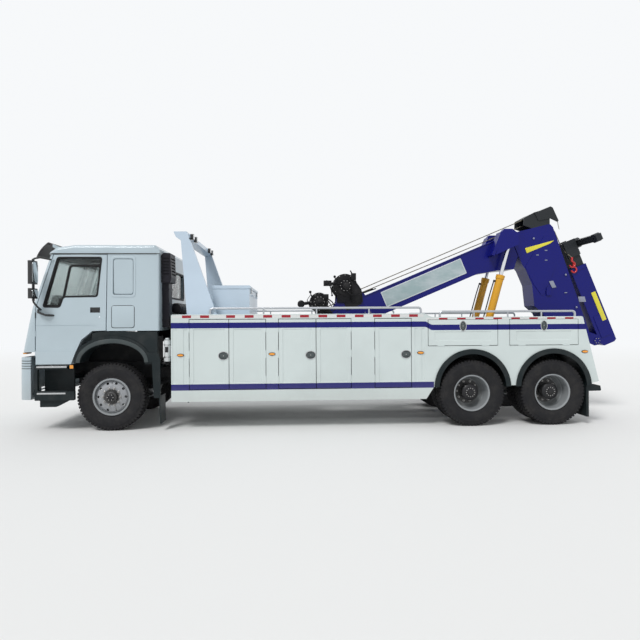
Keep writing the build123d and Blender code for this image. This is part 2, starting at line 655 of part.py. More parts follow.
# Under the body: fuel tanks, air tanks, and the canister between cab and body
with BuildPart() as under_tanks:
    for sign in (1, -1):
        with BuildSketch(Plane.YZ.offset(at_x(2300))) as tank_end:
            with Locations((sign * 530, 710)):
                RectangleRounded(140, 380, 60)
        extrude(tank_end.sketch, amount=1000)
        for station in (1450, 2150):
            block((station - 30, station + 30), (sign * RAIL_OUT, sign * 480), (790, 890))
        for station in (3050, 3560):
            with BuildSketch(Plane.YZ.offset(at_x(station + 420))) as air_tank:
                with Locations((sign * 530, 690)):
                    Circle(85)
            extrude(air_tank.sketch, amount=420)
            block((station + 180, station + 240), (sign * RAIL_OUT, sign * 470), (790, 850))
            block((station + 180, station + 240), (sign * 446, sign * 470), (690, 850))
    with Locations((at_x(877), 1110, 1275)):
        Cylinder(52, 350)
    block((847, 907), (RAIL_OUT, 1110), (1040, 1101))
keep(under_tanks.part, "under_tanks")

# Side bodies with their locker bays, hatch bays and wheel arches
for side, sign in SIDES:
    with BuildPart() as side_body:
        skirt = ((BODY_FRONT, BODY_LOW), (5060, BODY_LOW), (5185, 650), (7790, 680), TAIL_LOW,
                 TAIL_HIGH, (5160, BODY_REAR_TOP), (BODY_STEP, BODY_TOP), (BODY_FRONT, BODY_TOP))
        slab(skirt, (sign * (BODY_HALF - BODY_SKIN), sign * BODY_HALF))
        slab((TAIL_LOW, TAIL_HIGH, tail_at(BODY_REAR_TOP, TAIL_WALL), tail_at(TAIL_LOW[1], TAIL_WALL)),
             (sign * BODY_INNER, sign * BODY_HALF))
        front_box = ((BODY_FRONT, BODY_LOW), (4900, BODY_LOW), (4900, BODY_TOP), (BODY_FRONT, BODY_TOP))
        slab(front_box, (sign * BODY_INNER, sign * BODY_HALF))
        rear_box = ((4900, BAY_FLOOR), tail_at(BAY_FLOOR), TAIL_HIGH,
                    (5160, BODY_REAR_TOP), (BODY_STEP, BODY_TOP), (4900, BODY_TOP))
        slab(rear_box, (sign * BODY_INNER, sign * BODY_HALF))
        bay_in = sign * (BODY_INNER + BODY_WALL)
        bay_out = sign * (BODY_HALF + 5)
        bay_skin = sign * (BODY_HALF - BODY_SKIN)
        for front, rear, front_in, rear_in in BAYS:
            block((front - JOINT_GAP, rear + JOINT_GAP), (bay_in, bay_out),
                  (LEAF_LOW - JOINT_GAP, LEAF_TOP + JOINT_GAP), mode=Mode.SUBTRACT)
            block((front_in, rear_in), (bay_in, bay_skin), (BODY_LOW + BODY_WALL, BODY_TOP - BODY_WALL),
                  mode=Mode.SUBTRACT)
        for name, front, rear, front_in, rear_in in HATCHES:
            block((front - JOINT_GAP, rear + JOINT_GAP), (bay_in, bay_out),
                  (HATCH_LOW - JOINT_GAP, HATCH_TOP + JOINT_GAP), mode=Mode.SUBTRACT)
            block((front_in, rear_in), (bay_in, bay_skin), (BAY_FLOOR + BODY_WALL, BODY_REAR_TOP - BODY_WALL),
                  mode=Mode.SUBTRACT)
        for station in (WHEELBASE, WHEELBASE + TANDEM):
            cross_round(station, ARCH_Z, ARCH_R, (sign * (BODY_HALF - BODY_SKIN - 5), bay_out),
                        mode=Mode.SUBTRACT)
            block((station - ARCH_R, station + ARCH_R),
                  (sign * (BODY_HALF - BODY_SKIN - 5), bay_out), (600, ARCH_Z), mode=Mode.SUBTRACT)
        # Edge roll along the top, and the press lines of the fixed panels beside the leaves
        bent_tube(((BODY_FRONT + 12, sign * (BODY_HALF - 6), BODY_TOP), (BODY_STEP, sign * (BODY_HALF - 6), BODY_TOP),
              (5160, sign * (BODY_HALF - 6), BODY_REAR_TOP),
              (TAIL_HIGH[0] - 12, sign * (BODY_HALF - 6), BODY_REAR_TOP)), 60, 9)
        for front, rear in ((990, 1070), (1160, 1230), (4872, 4930), (4985, 5040)):
            pressed((front, rear), PRESS_SPAN, sign * BODY_HALF)
    keep(side_body.part, f"side_body_{side}")

    # Locker leaves: pressed field between two ribs, and an oval latch at some free edges
    for name, hinge, free in LEAVES:
        with BuildPart() as leaf:
            block((hinge, free), (sign * (BODY_HALF - LEAF_THICK), sign * BODY_HALF),
                  (LEAF_LOW, LEAF_TOP))
            into = 1 if free > hinge else -1
            pressed((hinge + into * PRESS_MARGIN, free - into * PRESS_MARGIN), PRESS_SPAN, sign * BODY_HALF)
            if name in LATCHED:
                latch(free - into * LATCH_SET, LATCH_Z, LATCH_LONG, LATCH_SHORT, sign)
            for knuckle_z in HINGE_Z:
                with Locations((at_x(hinge - into * HINGE_SET), sign * (BODY_HALF + HINGE_PROUD), knuckle_z)):
                    Cylinder(HINGE_R, HINGE_LEN)
        keep(leaf.part, f"{name}_{side}")

    # Hatches hinged along their lower edge
    for name, front, rear, front_in, rear_in in HATCHES:
        with BuildPart() as hatch:
            block((front, rear), (sign * (BODY_HALF - LEAF_THICK), sign * BODY_HALF),
                  (HATCH_LOW, HATCH_TOP))
            pressed((front + 105, rear - 105), HATCH_PRESS, sign * BODY_HALF)
            latch((front + rear) / 2, HATCH_LATCH_Z, LATCH_SHORT * 0.78, LATCH_LONG, sign)
            for pin_at in (front + 200, rear - 200):
                with BuildSketch(Plane.YZ.offset(at_x(pin_at))) as knuckle:
                    with Locations((sign * (BODY_HALF + HINGE_PROUD), HATCH_LOW - HINGE_SET)):
                        Circle(HINGE_R)
                extrude(knuckle.sketch, amount=HINGE_LEN / 2, both=True)
        keep(hatch.part, f"{name}_{side}")

# Deck between the side bodies and the locker across it, with its lid and handles
with BuildPart() as deck:
    block((BODY_FRONT, WELL_FRONT), (-BODY_INNER, BODY_INNER), (BODY_TOP - 40, BODY_TOP))
    block((1580, 2180), (-890, 890), (BODY_TOP, 1900))
    soft_block((1580, 2180), (-890, 890), (1870, 2290), 20)
    soft_block((1566, 2195), (-900, 900), (2282, 2335), 18)
    for y in (-420, 420):
        bent_tube(((2180, y - 70, 2180), (2216, y - 70, 2180), (2216, y + 70, 2180), (2180, y + 70, 2180)), 12, 6)
keep(deck.part, "deck_locker")

# Hoop behind the cab that carries the warning lamps: two tapered posts and a boxed head
with BuildPart() as light_hoop:
    post = ((1202, BODY_TOP), (1680, BODY_TOP), (1256, 3049), (1209, 3186), (1120, 3186), (1113, 3033))
    for sign in (1, -1):
        slab(post, (sign * 1080, sign * 1160))
        slab(((1180, BODY_TOP), (1700, BODY_TOP), (1700, BODY_TOP + 14), (1180, BODY_TOP + 14)),
             (sign * 1060, sign * 1168))
    soft_slab(((995, 3186), (1034, 3097), (1113, 3050), (1240, 3090), (1209, 3186)), (-1160, 1160), 10)
    for y in (-1000, -700, 700, 1000):
        with BuildSketch(Plane.YZ.offset(at_x(1290))) as work_lamp:
            with Locations((y, 3120)):
                RectangleRounded(120, 90, 20)
        extrude(work_lamp.sketch, amount=70)
keep(light_hoop.part, "light_hoop")

# Handrails along both sides of the deck, bent down at their ends
with BuildPart() as handrails:
    for sign in (1, -1):
        for start, stop, rail_z, foot_z in ((1577, 4991, 1945, BODY_TOP), (5304, 7566, 1877, BODY_REAR_TOP)):
            y = sign * 1190
            bent_tube(((start, y, foot_z), (start, y, rail_z), (stop, y, rail_z), (stop, y, foot_z)), 45, RAIL_TUBE_R)
            for share in (0.25, 0.5, 0.75):
                with Locations((at_x(start + (stop - start) * share), y, (rail_z + foot_z) / 2)):
                    Cylinder(RAIL_TUBE_R - 5, rail_z - foot_z)
keep(handrails.part, "handrails")

# Cab shell: floor, front wall, rear wall, quarters and pillars. First the room inside it and the
# recesses for the doors, then the shell from which they are taken
with BuildPart() as cab_room:
    slab(((CAB_REAR - CAB_WALL, CAB_FLOOR + CAB_WALL), (-1195, CAB_FLOOR + CAB_WALL), (-1185, 1700),
          (-1125, 1960), (-890, ROOF_LOW + 1), (CAB_REAR - CAB_WALL, ROOF_LOW + 1)), (-CAB_HALF, CAB_HALF))
    cab_bar(CAB_WALL, mode=Mode.INTERSECT)
    for sign in (1, -1):
        slab(((-660, CAB_SILL + CAB_WALL), (-1095, CAB_SILL + CAB_WALL), (-1095, 1320), (-1255, 1320),
              (-1185, 1701), (-400, 1701), (-360, CAB_FLOOR + CAB_WALL), (-500, 1490), (-565, 1310)),
             (sign * 600, sign * (CAB_HALF - CAB_WALL)))

with BuildPart() as door_recess:
    door_hole = ((DOOR_FRONT - 12, 1000), (DOOR_FRONT - 12, 1963), (-880, ROOF_LOW + 1),
                 (DOOR_REAR + 10, ROOF_LOW + 1), (DOOR_REAR - 5, 1000))
    cab_skin(door_hole, DOOR_THICK + JOINT_GAP, -1)

# The cab's outer form below the roof, with its upright corners rounded
with BuildPart() as cab_form:
    slab(((CAB_REAR, CAB_FLOOR), cab_face(CAB_FLOOR), PANEL_TOP, SCREEN_HEAD, (CAB_REAR, ROOF_LOW)),
         (-CAB_HALF, CAB_HALF))
    slab((PANEL_LOW, cab_face(1700), panel_back(1700), panel_back(PANEL_LOW[1])), (-CAB_HALF, CAB_HALF))
    for sign in (1, -1):
        slab(((-600, CAB_SILL), (-1145, CAB_SILL), (-1145, 1270), cab_face(1270, 8), cab_face(1700, 8),
              (-200, 1700), (-271, CAB_FLOOR), (-443, 1456), (-513, 1299)),
             (sign * 550, sign * (CAB_HALF - DOOR_THICK - JOINT_GAP)))
        slab(((-1155, 1270), cab_face(1270, 8), cab_face(1700, 8), (-1155, 1700)), (sign * 550, sign * CAB_HALF))
    cab_bar(0, mode=Mode.INTERSECT)
    fillet(cab_form.edges().filter_by(lambda e: e.length > 200 and abs(e.center().Y) > 1150
                                      and abs(e.center().X - at_x(cab_face(e.center().Z)[0])) < 3), CAB_CORNER)
    fillet(cab_form.edges().filter_by(lambda e: e.length > 100 and abs(e.center().Y) > 1150
                                      and abs(e.center().X - at_x(CAB_REAR)) < 1), CAB_REAR_ROUND)
panel_region = (cab_face(PANEL_LOW[1] - 1, -40), cab_face(PANEL_SEAM, -40), panel_back(PANEL_SEAM),
                panel_back(PANEL_LOW[1]))

with BuildPart() as cab_shell:
    add(cab_form.part)
    slab(panel_region, (-CAB_HALF - 10, CAB_HALF + 10), mode=Mode.SUBTRACT)
    add(cab_room.part, mode=Mode.SUBTRACT)
    add(door_recess.part, mode=Mode.SUBTRACT)
    screen_hole = ((-1300, SCREEN_LOW), (-1000, SCREEN_LOW), (-760, SCREEN_TOP), (-1060, SCREEN_TOP))
    slab(screen_hole, (-SCREEN_HALF, SCREEN_HALF), mode=Mode.SUBTRACT)
    rear_half, rear_low, rear_top = REAR_WINDOW
    block((CAB_REAR - CAB_WALL - 5, CAB_REAR + 5), (-rear_half, rear_half), (rear_low, rear_top),
          mode=Mode.SUBTRACT)
    # Recess of the blind quarter window and the groove round the hatch below it
    for sign in (1, -1):
        quarter = ((30, 2148), (393, 2148), (393, 2768), (30, 2768))
        face, deep = cab_half(2450), cab_half(2450, 16)
        soft_slab(quarter, (sign * (deep - 8), sign * (face + 20)), 55, mode=Mode.SUBTRACT)
        soft_slab(((62, 2185), (362, 2185), (362, 2735), (62, 2735)), (sign * (deep - 30), sign * (face - 4)), 40)
        hatch_line = ((28, 1641), (391, 1641), (391, 2000), (28, 2000))
        shallow = sign * (cab_half(1820) - CREASE)
        soft_slab(hatch_line, (shallow, sign * (CAB_HALF + 10)), 30, mode=Mode.SUBTRACT)
        soft_slab([(s + (8 if s < 200 else -8), z + (8 if z < 1800 else -8)) for s, z in hatch_line],
                  (sign * (CAB_HALF - 30), sign * cab_half(1900)), 24)
    # Hinge arms of the tilting cab
    for sign in (1, -1):
        arm = (sign * CAB_ARM_Y, sign * (CAB_ARM_Y + CAB_ARM_THICK))
        slab(((-1240, 1610), (-1150, 1610), (-1150, 1400), (-1245, 1120), (-1280, 1085), (-1305, 1120),
              (-1240, 1300)), arm)
        cross_round(*CAB_PIVOT, 36, arm)
        cross_round(*CAB_PIVOT, CAB_PIN_R + RUN_GAP, (sign * (CAB_ARM_Y - 1), sign * (CAB_ARM_Y + 61)),
                    mode=Mode.SUBTRACT)
keep(cab_shell.part, "cab_shell")

# Roof with its gutters and hatch, and the visor over the windscreen on its stays
with BuildPart() as roof_room:
    slab(((-890, ROOF_LOW - 1), (-865, 2850), (-800, 2890), (-545, 2915), (690, 2915),
          (CAB_REAR - CAB_WALL, 2870), (CAB_REAR - CAB_WALL, ROOF_LOW - 1)), (-CAB_HALF, CAB_HALF))
    cab_bar(CAB_WALL, mode=Mode.INTERSECT)

with BuildPart() as cab_roof:
    slab((SCREEN_HEAD, (-925, 2870), (-830, 2935), (-560, CAB_TOP), (700, CAB_TOP), (CAB_REAR, 2900),
          (CAB_REAR, ROOF_LOW)), (-CAB_HALF, CAB_HALF))
    cab_bar(0, mode=Mode.INTERSECT)
    roof_sides = cab_roof.edges().filter_by(lambda e: e.center().Z > ROOF_LOW + 40 and abs(e.center().Y) > 1100)
    fillet(roof_sides, ROOF_ROUND)
    add(roof_room.part, mode=Mode.SUBTRACT)
    for sign in (1, -1):
        block((-900, 730), (sign * (cab_half(ROOF_LOW) - 8), sign * (cab_half(ROOF_LOW) + 14)),
              (ROOF_LOW + 4, ROOF_LOW + 18))
    with BuildSketch(Plane.XY.offset(CAB_TOP - 5)) as roof_hatch:
        with Locations((at_x(-60), 0)):
            RectangleRounded(620, 620, 60)
    extrude(roof_hatch.sketch, amount=30, taper=12)
    with BuildSketch(side_plane(1010)) as visor:
        with BuildLine():
            ThreePointArc((at_x(-1036), 3034), (at_x(-1150), 2925), (at_x(-1224), 2796))
            Line((at_x(-1224), 2796), (at_x(-1214), 2790))
            ThreePointArc((at_x(-1214), 2790), (at_x(-1139), 2917), (at_x(-1030), 3022))
            Line((at_x(-1030), 3022), (at_x(-1036), 3034))
        make_face()
    extrude(visor.sketch, amount=2020)
    for y in (-960, -320, 320, 960):
        slab(((-800, 2930), (-1040, 3031), (-1060, 3006), (-880, 2895)), (y - 12, y + 12))
keep(cab_roof.part, "cab_roof")

# Front panel: rounded at the cab's corners, with a ribbed grille in a shallow recess
with BuildPart() as front_panel:
    add(cab_form.part)
    slab(panel_region, (-CAB_HALF - 10, CAB_HALF + 10), mode=Mode.INTERSECT)
    recess = (cab_face(1318, -5), cab_face(1610, -5), cab_face(1600, 18), cab_face(1328, 18))
    slab(recess, (-600, 600), mode=Mode.SUBTRACT)
    for z in range(1350, 1600, 42):
        for y in (-290, 290):
            front_slot(y, z, 520, 24, (PANEL_LOW[0] - 10, PANEL_TOP[0] + 20))
    # Washer trough under the windscreen
    slab((cab_face(1900, -4), cab_face(1930, -4), cab_face(1930, 8), cab_face(1900, 8)), (-1000, 1000),
         mode=Mode.SUBTRACT)
keep(front_panel.part, "cab_front_panel")

# Windscreen and rear window
with BuildPart() as cab_glass:
    low, top = SCREEN_LOW + RUN_GAP, SCREEN_TOP - RUN_GAP
    slab((cab_face(low, 8), cab_face(top, 8), cab_face(top, 21), cab_face(low, 21)),
         (-SCREEN_HALF + RUN_GAP, SCREEN_HALF - RUN_GAP))
    block((CAB_REAR - 30, CAB_REAR - 22), (-rear_half + RUN_GAP, rear_half - RUN_GAP),
          (rear_low + RUN_GAP, rear_top - RUN_GAP))
keep(cab_glass.part, "cab_glass")

# Dashboard, steering wheel on its column, two seats with head rests, and the bunk
with BuildPart() as cab_interior:
    seat_floor = CAB_FLOOR + CAB_WALL
    soft_slab(((-1120, 1750), (-1120, 1945), (-1010, 1975), (-900, 1955), (-870, 1860), (-905, 1750)),
              (-1150, 1150), 20)
    slab(((-1170.8, 1760), (-1147.7, 1860), (-1100, 1860), (-1100, 1760)), (-1100, 1100))
    wheel_at, wheel_y, wheel_z = STEERING
    soft_slab(((-1000, 1930), (-1000, 2040), (-930, 2050), (-880, 1950)), (wheel_y - 230, wheel_y + 230), 14)
    wheel_plane = Plane(origin=(at_x(wheel_at), wheel_y, wheel_z), x_dir=(0, 1, 0), z_dir=(-0.5, 0, 0.866))
    with BuildSketch(wheel_plane) as wheel_disc:
        Circle(228)
        Circle(196, mode=Mode.SUBTRACT)
        Rectangle(400, 38)
        with Locations((0, -100)):
            Rectangle(38, 195)
        Circle(62)
    extrude(wheel_disc.sketch, amount=12, both=True)
    with BuildSketch(wheel_plane) as column:
        Circle(38)
    extrude(column.sketch, amount=-190)
    for y in (-SEAT_Y, SEAT_Y):
        block((-480, -80), (y - 200, y + 200), (seat_floor, seat_floor + 220))
        soft_slab(((-540, seat_floor + 215), (-20, seat_floor + 215), (-20, seat_floor + 340),
                   (-540, seat_floor + 360)), (y - 250, y + 250), 45)
        soft_slab(((-100, seat_floor + 320), (50, seat_floor + 320), (175, 2440), (75, 2440)),
                  (y - 240, y + 240), 40)
        soft_slab(((95, 2420), (165, 2420), (200, 2640), (110, 2640)), (y - 140, y + 140), 30)
    soft_slab(((320, seat_floor), (CAB_REAR - CAB_WALL, seat_floor), (CAB_REAR - CAB_WALL, seat_floor + 300),
               (320, seat_floor + 300)), (-1100, 1100), 24)
keep(cab_interior.part, "cab_interior")

# Air intake tower on the cab's back with its louvred head, and the duct down to the filter
with BuildPart() as air_intake:
    soft_slab(((CAB_REAR, 2370), (CAB_REAR + 150, 2370), (CAB_REAR + 165, 2450), (CAB_REAR + 150, 2850),
               (CAB_REAR + 30, 2850), (CAB_REAR, 2800)), (740, 1080), 10)
    for z in range(2500, 2800, 50):
        block((CAB_REAR + 110, CAB_REAR + 170), (780, 1040), (z, z + 22), mode=Mode.SUBTRACT)
        block((CAB_REAR + 30, CAB_REAR + 130), (1060, 1090), (z, z + 22), mode=Mode.SUBTRACT)
    block((CAB_REAR, CAB_REAR + 110), (800, 1020), (1650, 2380))
    for z in (1750, 2000, 2250):
        block((CAB_REAR, CAB_REAR + 118), (792, 1028), (z, z + 30))
    soft_slab(((CAB_REAR + 100, 1650), (CAB_REAR + 185, 1650), (CAB_REAR + 185, 1760), (CAB_REAR + 100, 1800)),
              (820, 1000), 12)
keep(air_intake.part, "air_intake")

# Cab doors: outer panel with its pressed lines, window opening, handle dish and mirrors; door glass
window = ((-814, 2768), (-125, 2768), (-191, 2143), (-717, 2137), (-772, 1975), (-1034, 1980))
door_outline = ((DOOR_FRONT, CAB_SILL), (DOOR_FRONT, 1960), (-868, 2810), (DOOR_REAR, 2810), (-60, 1605),
                (-271, CAB_FLOOR), (-443, 1456), (-513, 1299), (-600, CAB_SILL))
for side, sign in SIDES:
    with BuildPart() as cab_door:
        slab(door_outline, (0, sign * CAB_HALF))
        cab_bar(0, mode=Mode.INTERSECT)
        cab_bar(DOOR_THICK, mode=Mode.SUBTRACT)
        soft_slab(window, (sign * 1000, sign * 1300), WINDOW_ROUND, mode=Mode.SUBTRACT)
        # Pressed line along the belt, ledge low down, handle dish
        slab(((DOOR_FRONT - 5, 1683), (-210, 1683), (-230, 1691), (DOOR_FRONT - 5, 1693)),
             (sign * (CAB_HALF - CREASE), sign * (CAB_HALF + 5)), mode=Mode.SUBTRACT)
        slab(((DOOR_FRONT, CAB_SILL), (DOOR_FRONT, 1281), (-520, 1281), (-600, CAB_SILL)),
             (sign * (CAB_HALF - 5), sign * (CAB_HALF + 9)))
        handle_half = cab_half(1930)
        soft_block((-300, -150), (sign * (handle_half - 26), sign * (handle_half + 10)), (1889, 1969), 14,
                   mode=Mode.SUBTRACT)
        soft_block((-292, -158), (sign * (handle_half - 8), sign * (handle_half + 3)), (1935, 1962), 10)
        block((-292, -272), (sign * (handle_half - 30), sign * (handle_half - 2)), (1938, 1959))
        block((-178, -158), (sign * (handle_half - 30), sign * (handle_half - 2)), (1938, 1959))
        cross_round(-159, 1802, 11, (sign * (CAB_HALF - 10), sign * (CAB_HALF + 2)))
        for knuckle_z in CAB_HINGE_Z:
            with Locations((at_x(DOOR_FRONT - HINGE_SET), sign * (CAB_HALF + HINGE_PROUD), knuckle_z)):
                Cylinder(CAB_HINGE_R, 90)
        # Mirrors: bent tube from the door's head to its foot, with a tall and a low head
        bent_tube(((-862, sign * (cab_half(2720) - 12), 2720), (-1010, sign * (MIRROR_Y - 60), 2745),
              (-1085, sign * MIRROR_Y, 2720), (-1085, sign * MIRROR_Y, 2050),
              (-1060, sign * (MIRROR_Y - 60), 1985), (-1060, sign * (cab_half(1930) - 12), 1930)), 34, 14)
        bent_tube(((-1100, sign * (cab_half(1950) - 12), 1950), (-1080, sign * (CAB_HALF + 60), 1900),
              (-960, sign * (CAB_HALF + 60), 1850), (-860, sign * (CAB_HALF - 10), 1846)), 22, 17)
        for low, top in ((2327, 2686), (2105, 2262)):
            with BuildSketch(Plane.XY.offset(low)) as mirror_head:
                with Locations((at_x(-1095), sign * MIRROR_Y)):
                    RectangleRounded(74, 200, 30)
            extrude(mirror_head.sketch, amount=top - low)
    keep(cab_door.part, f"cab_door_{side}")

    with BuildPart() as door_glass:
        soft_slab(window, (0, sign * CAB_HALF), WINDOW_ROUND, shrink=RUN_GAP)
        middle = DOOR_THICK / 2
        cab_bar(middle - GLASS / 2, mode=Mode.INTERSECT)
        cab_bar(middle + GLASS / 2, mode=Mode.SUBTRACT)
    keep(door_glass.part, f"door_glass_{side}")

# Pedestal: cheeks that carry the boom's pin, and the feet of the lift cylinders
with BuildPart() as pedestal:
    block((3900, 4600), (-RAIL_OUT, RAIL_OUT), (RAIL_TOP, RAIL_TOP + 20))
    for sign in (1, -1):
        cheek = ((3920, RAIL_TOP + 20), (4580, RAIL_TOP + 20), (4375, BOOM_PIVOT[1]), (4125, BOOM_PIVOT[1]))
        slab(cheek, (sign * 225, sign * 265))
        cross_round(*BOOM_PIVOT, 125, (sign * 225, sign * 265))
        cross_round(*BOOM_PIVOT, 80, (sign * 265, sign * 275))
        for y in (CYLINDER_Y - BARREL_R - 16, CYLINDER_Y + BARREL_R + 4):
            slab(((CYL_FOOT[0] - 160, RAIL_TOP), (CYL_FOOT[0] + 160, RAIL_TOP), (CYL_FOOT[0] + 60, CYL_FOOT[1]),
                  (CYL_FOOT[0] - 60, CYL_FOOT[1])), (sign * y, sign * (y + 12)))
            cross_round(*CYL_FOOT, 62, (sign * y, sign * (y + 12)))
        block((CYL_FOOT[0] - 170, CYL_FOOT[0] + 170),
              (sign * (CYLINDER_Y - BARREL_R - 16), sign * (CYLINDER_Y + BARREL_R + 16)),
              (RAIL_TOP, RAIL_TOP + 14))
        cross_round(*CYL_FOOT, 35, (sign * (CYLINDER_Y - BARREL_R - 10), sign * (CYLINDER_Y + BARREL_R + 10)))
    cross_round(*BOOM_PIVOT, 50, (-275, 275))
keep(pedestal.part, "boom_pedestal")

# Outer boom: box beam with flanges, tail frame for the winches, gusset, and the heads that take
# the eyes of the lift cylinders
with BuildPart() as boom_main:
    slab((boom_at(BOOM_TAIL_S, BOOM_LOW_T), boom_at(BOOM_TIP_S, BOOM_LOW_T),
          boom_at(BOOM_TIP_S, BOOM_TOP_T), boom_at(BOOM_TAIL_S, BOOM_TOP_T)), (-BOOM_HALF, BOOM_HALF))
    slab((boom_at(1900, BOOM_LOW_T + 60), (6640, 2640), (6960, 2665), boom_at(BOOM_TIP_S, BOOM_LOW_T + 10)),
         (-BOOM_HALF, BOOM_HALF))
    slab((boom_at(900, BOOM_LOW_T + BOOM_WALL), boom_at(BOOM_TIP_S + 50, BOOM_LOW_T + BOOM_WALL),
          boom_at(BOOM_TIP_S + 50, BOOM_TOP_T - BOOM_WALL), boom_at(900, BOOM_TOP_T - BOOM_WALL)),
         (-BOOM_HALF + BOOM_WALL, BOOM_HALF - BOOM_WALL), mode=Mode.SUBTRACT)
    for start, low in ((90, BOOM_TOP_T - FLANGE_THICK), (250, BOOM_LOW_T)):
        for sign in (1, -1):
            stop = BOOM_TIP_S if low > 0 else 1850
            slab((boom_at(start, low), boom_at(stop, low), boom_at(stop, low + FLANGE_THICK),
                  boom_at(start, low + FLANGE_THICK)), (sign * BOOM_HALF, sign * (BOOM_HALF + FLANGE_OUT)))
    collar = (boom_at(BOOM_TIP_S - 70, BOOM_TOP_T - 5), boom_at(BOOM_TIP_S, BOOM_TOP_T - 5),
              boom_at(BOOM_TIP_S, BOOM_TOP_T + 24), boom_at(BOOM_TIP_S - 70, BOOM_TOP_T + 24))
    slab(collar, (-BOOM_HALF - FLANGE_OUT, BOOM_HALF + FLANGE_OUT))
    eye_in, eye_out = CYLINDER_Y - EYE_HALF - 24, CYLINDER_Y + EYE_HALF + 6
    for sign in (1, -1):
        # Tail frame: low under the front winch, high under the rear one
        frame_outline = (boom_at(-1000, 250), boom_at(-1000, 385), boom_at(-500, 400), boom_at(-330, 560),
                         boom_at(-150, 640), boom_at(40, 600), boom_at(120, 385), boom_at(120, 40))
        slab(frame_outline, (sign * (BOOM_HALF - TAIL_PLATE), sign * BOOM_HALF))
        # Head of each cylinder: two plates round the eye and the sloping web ahead of it
        for y in (eye_in, eye_out):
            slab(((6540, 2905), (6640, 2945), (6960, 3090), (6962, 3270), (6840, 3345), (6700, 3345)),
                 (sign * y, sign * (y + 18)))
        slab(((6470, 2905), (6520, 2885), (6705, 3290), (6720, 3345), (6640, 3320)),
             (sign * (BOOM_HALF - 5), sign * (eye_out + 18)))
        slab(((6640, 3300), (6720, 3322), (6840, 3345), (6962, 3270), (6962, 3290), (6850, 3372), (6700, 3372)),
             (sign * eye_in, sign * (eye_out + 18)))
    for s_at in (-990, -420):
        slab((boom_at(s_at, 250), boom_at(s_at, 385), boom_at(s_at + 40, 385), boom_at(s_at + 40, 250)),
             (-BOOM_HALF, BOOM_HALF))
    cross_round(*BOOM_PIVOT, 50 + RUN_GAP, (-300, 300), mode=Mode.SUBTRACT)
    for s_at, t_at, radius in WINCHES:
        cross_round(*boom_at(s_at, t_at), WINCH_AXLE_R + RUN_GAP, (-BOOM_HALF - 1, BOOM_HALF + 1),
                    mode=Mode.SUBTRACT)
keep(boom_main.part, "outer_boom")

# Winches on the boom's tail: drum between flanges, side plates with round heads, arched guard,
# gearbox on one side and motor with its clutch lever on the other
with BuildPart() as winches:
    frame_in = BOOM_HALF - TAIL_PLATE
    for s_at, t_at, radius in WINCHES:
        drum = boom_at(s_at, t_at)
        barrel_r = radius * 0.55
        cross_round(*drum, barrel_r, (12 - frame_in, frame_in - 12))
        for layer in range(-7, 8):
            cross_round(*drum, barrel_r + 26, (layer * 21 - 8, layer * 21 + 8))
        for sign in (1, -1):
            cross_round(*drum, radius - 14, (sign * (frame_in - 16), sign * (frame_in - 2)))
            cross_round(*drum, radius, (sign * BOOM_HALF, sign * (BOOM_HALF + 14)))
            cross_round(*drum, WINCH_AXLE_R, (sign * (frame_in - 16), sign * (BOOM_HALF + 90)))
            slab((boom_at(s_at - 150, 260), boom_at(s_at + 150, 260), boom_at(s_at + 110, t_at),
                  boom_at(s_at - 110, t_at)), (sign * BOOM_HALF, sign * (BOOM_HALF + 14)))
        cross_round(*drum, 105, (BOOM_HALF + 14, BOOM_HALF + 80))
        cross_round(*drum, 92, (-BOOM_HALF - 150, -BOOM_HALF - 14))
        cross_round(*drum, 62, (BOOM_HALF + 80, BOOM_HALF + 190))
        with BuildSketch(side_plane(BOOM_HALF)) as arch:
            with Locations((at_x(drum[0]), drum[1])):
                Circle(radius)
                Circle(radius - 10, mode=Mode.SUBTRACT)
            with Locations(Location((at_x(drum[0]), drum[1] - radius + 8, 0))):
                Rectangle(3 * radius, 2 * radius, mode=Mode.SUBTRACT)
        extrude(arch.sketch, amount=2 * BOOM_HALF)
        lever = boom_at(s_at - radius * 0.7, t_at + 30)
        bent_tube(((drum[0], BOOM_HALF + 60, drum[1] + 60), (lever[0], BOOM_HALF + 75, lever[1] + 60),
                   (lever[0] - 40, BOOM_HALF + 75, lever[1] + 190)), 25, 9)
        with Locations((at_x(lever[0] - 40), BOOM_HALF + 75, lever[1] + 195)):
            Sphere(24)
keep(winches.part, "winches")

LEG_OUTLINE = (
    boom_at(BOOM_TIP_S + 12, BOOM_TOP_T), (7640, 3500), (7700, 3440), (8434, 1330), (7720, 1330),
    (7500, 1850), (7340, 1990), (7300, 2380), (7204, 2605), (7180, 2660), boom_at(BOOM_TIP_S + 12, -260),
)

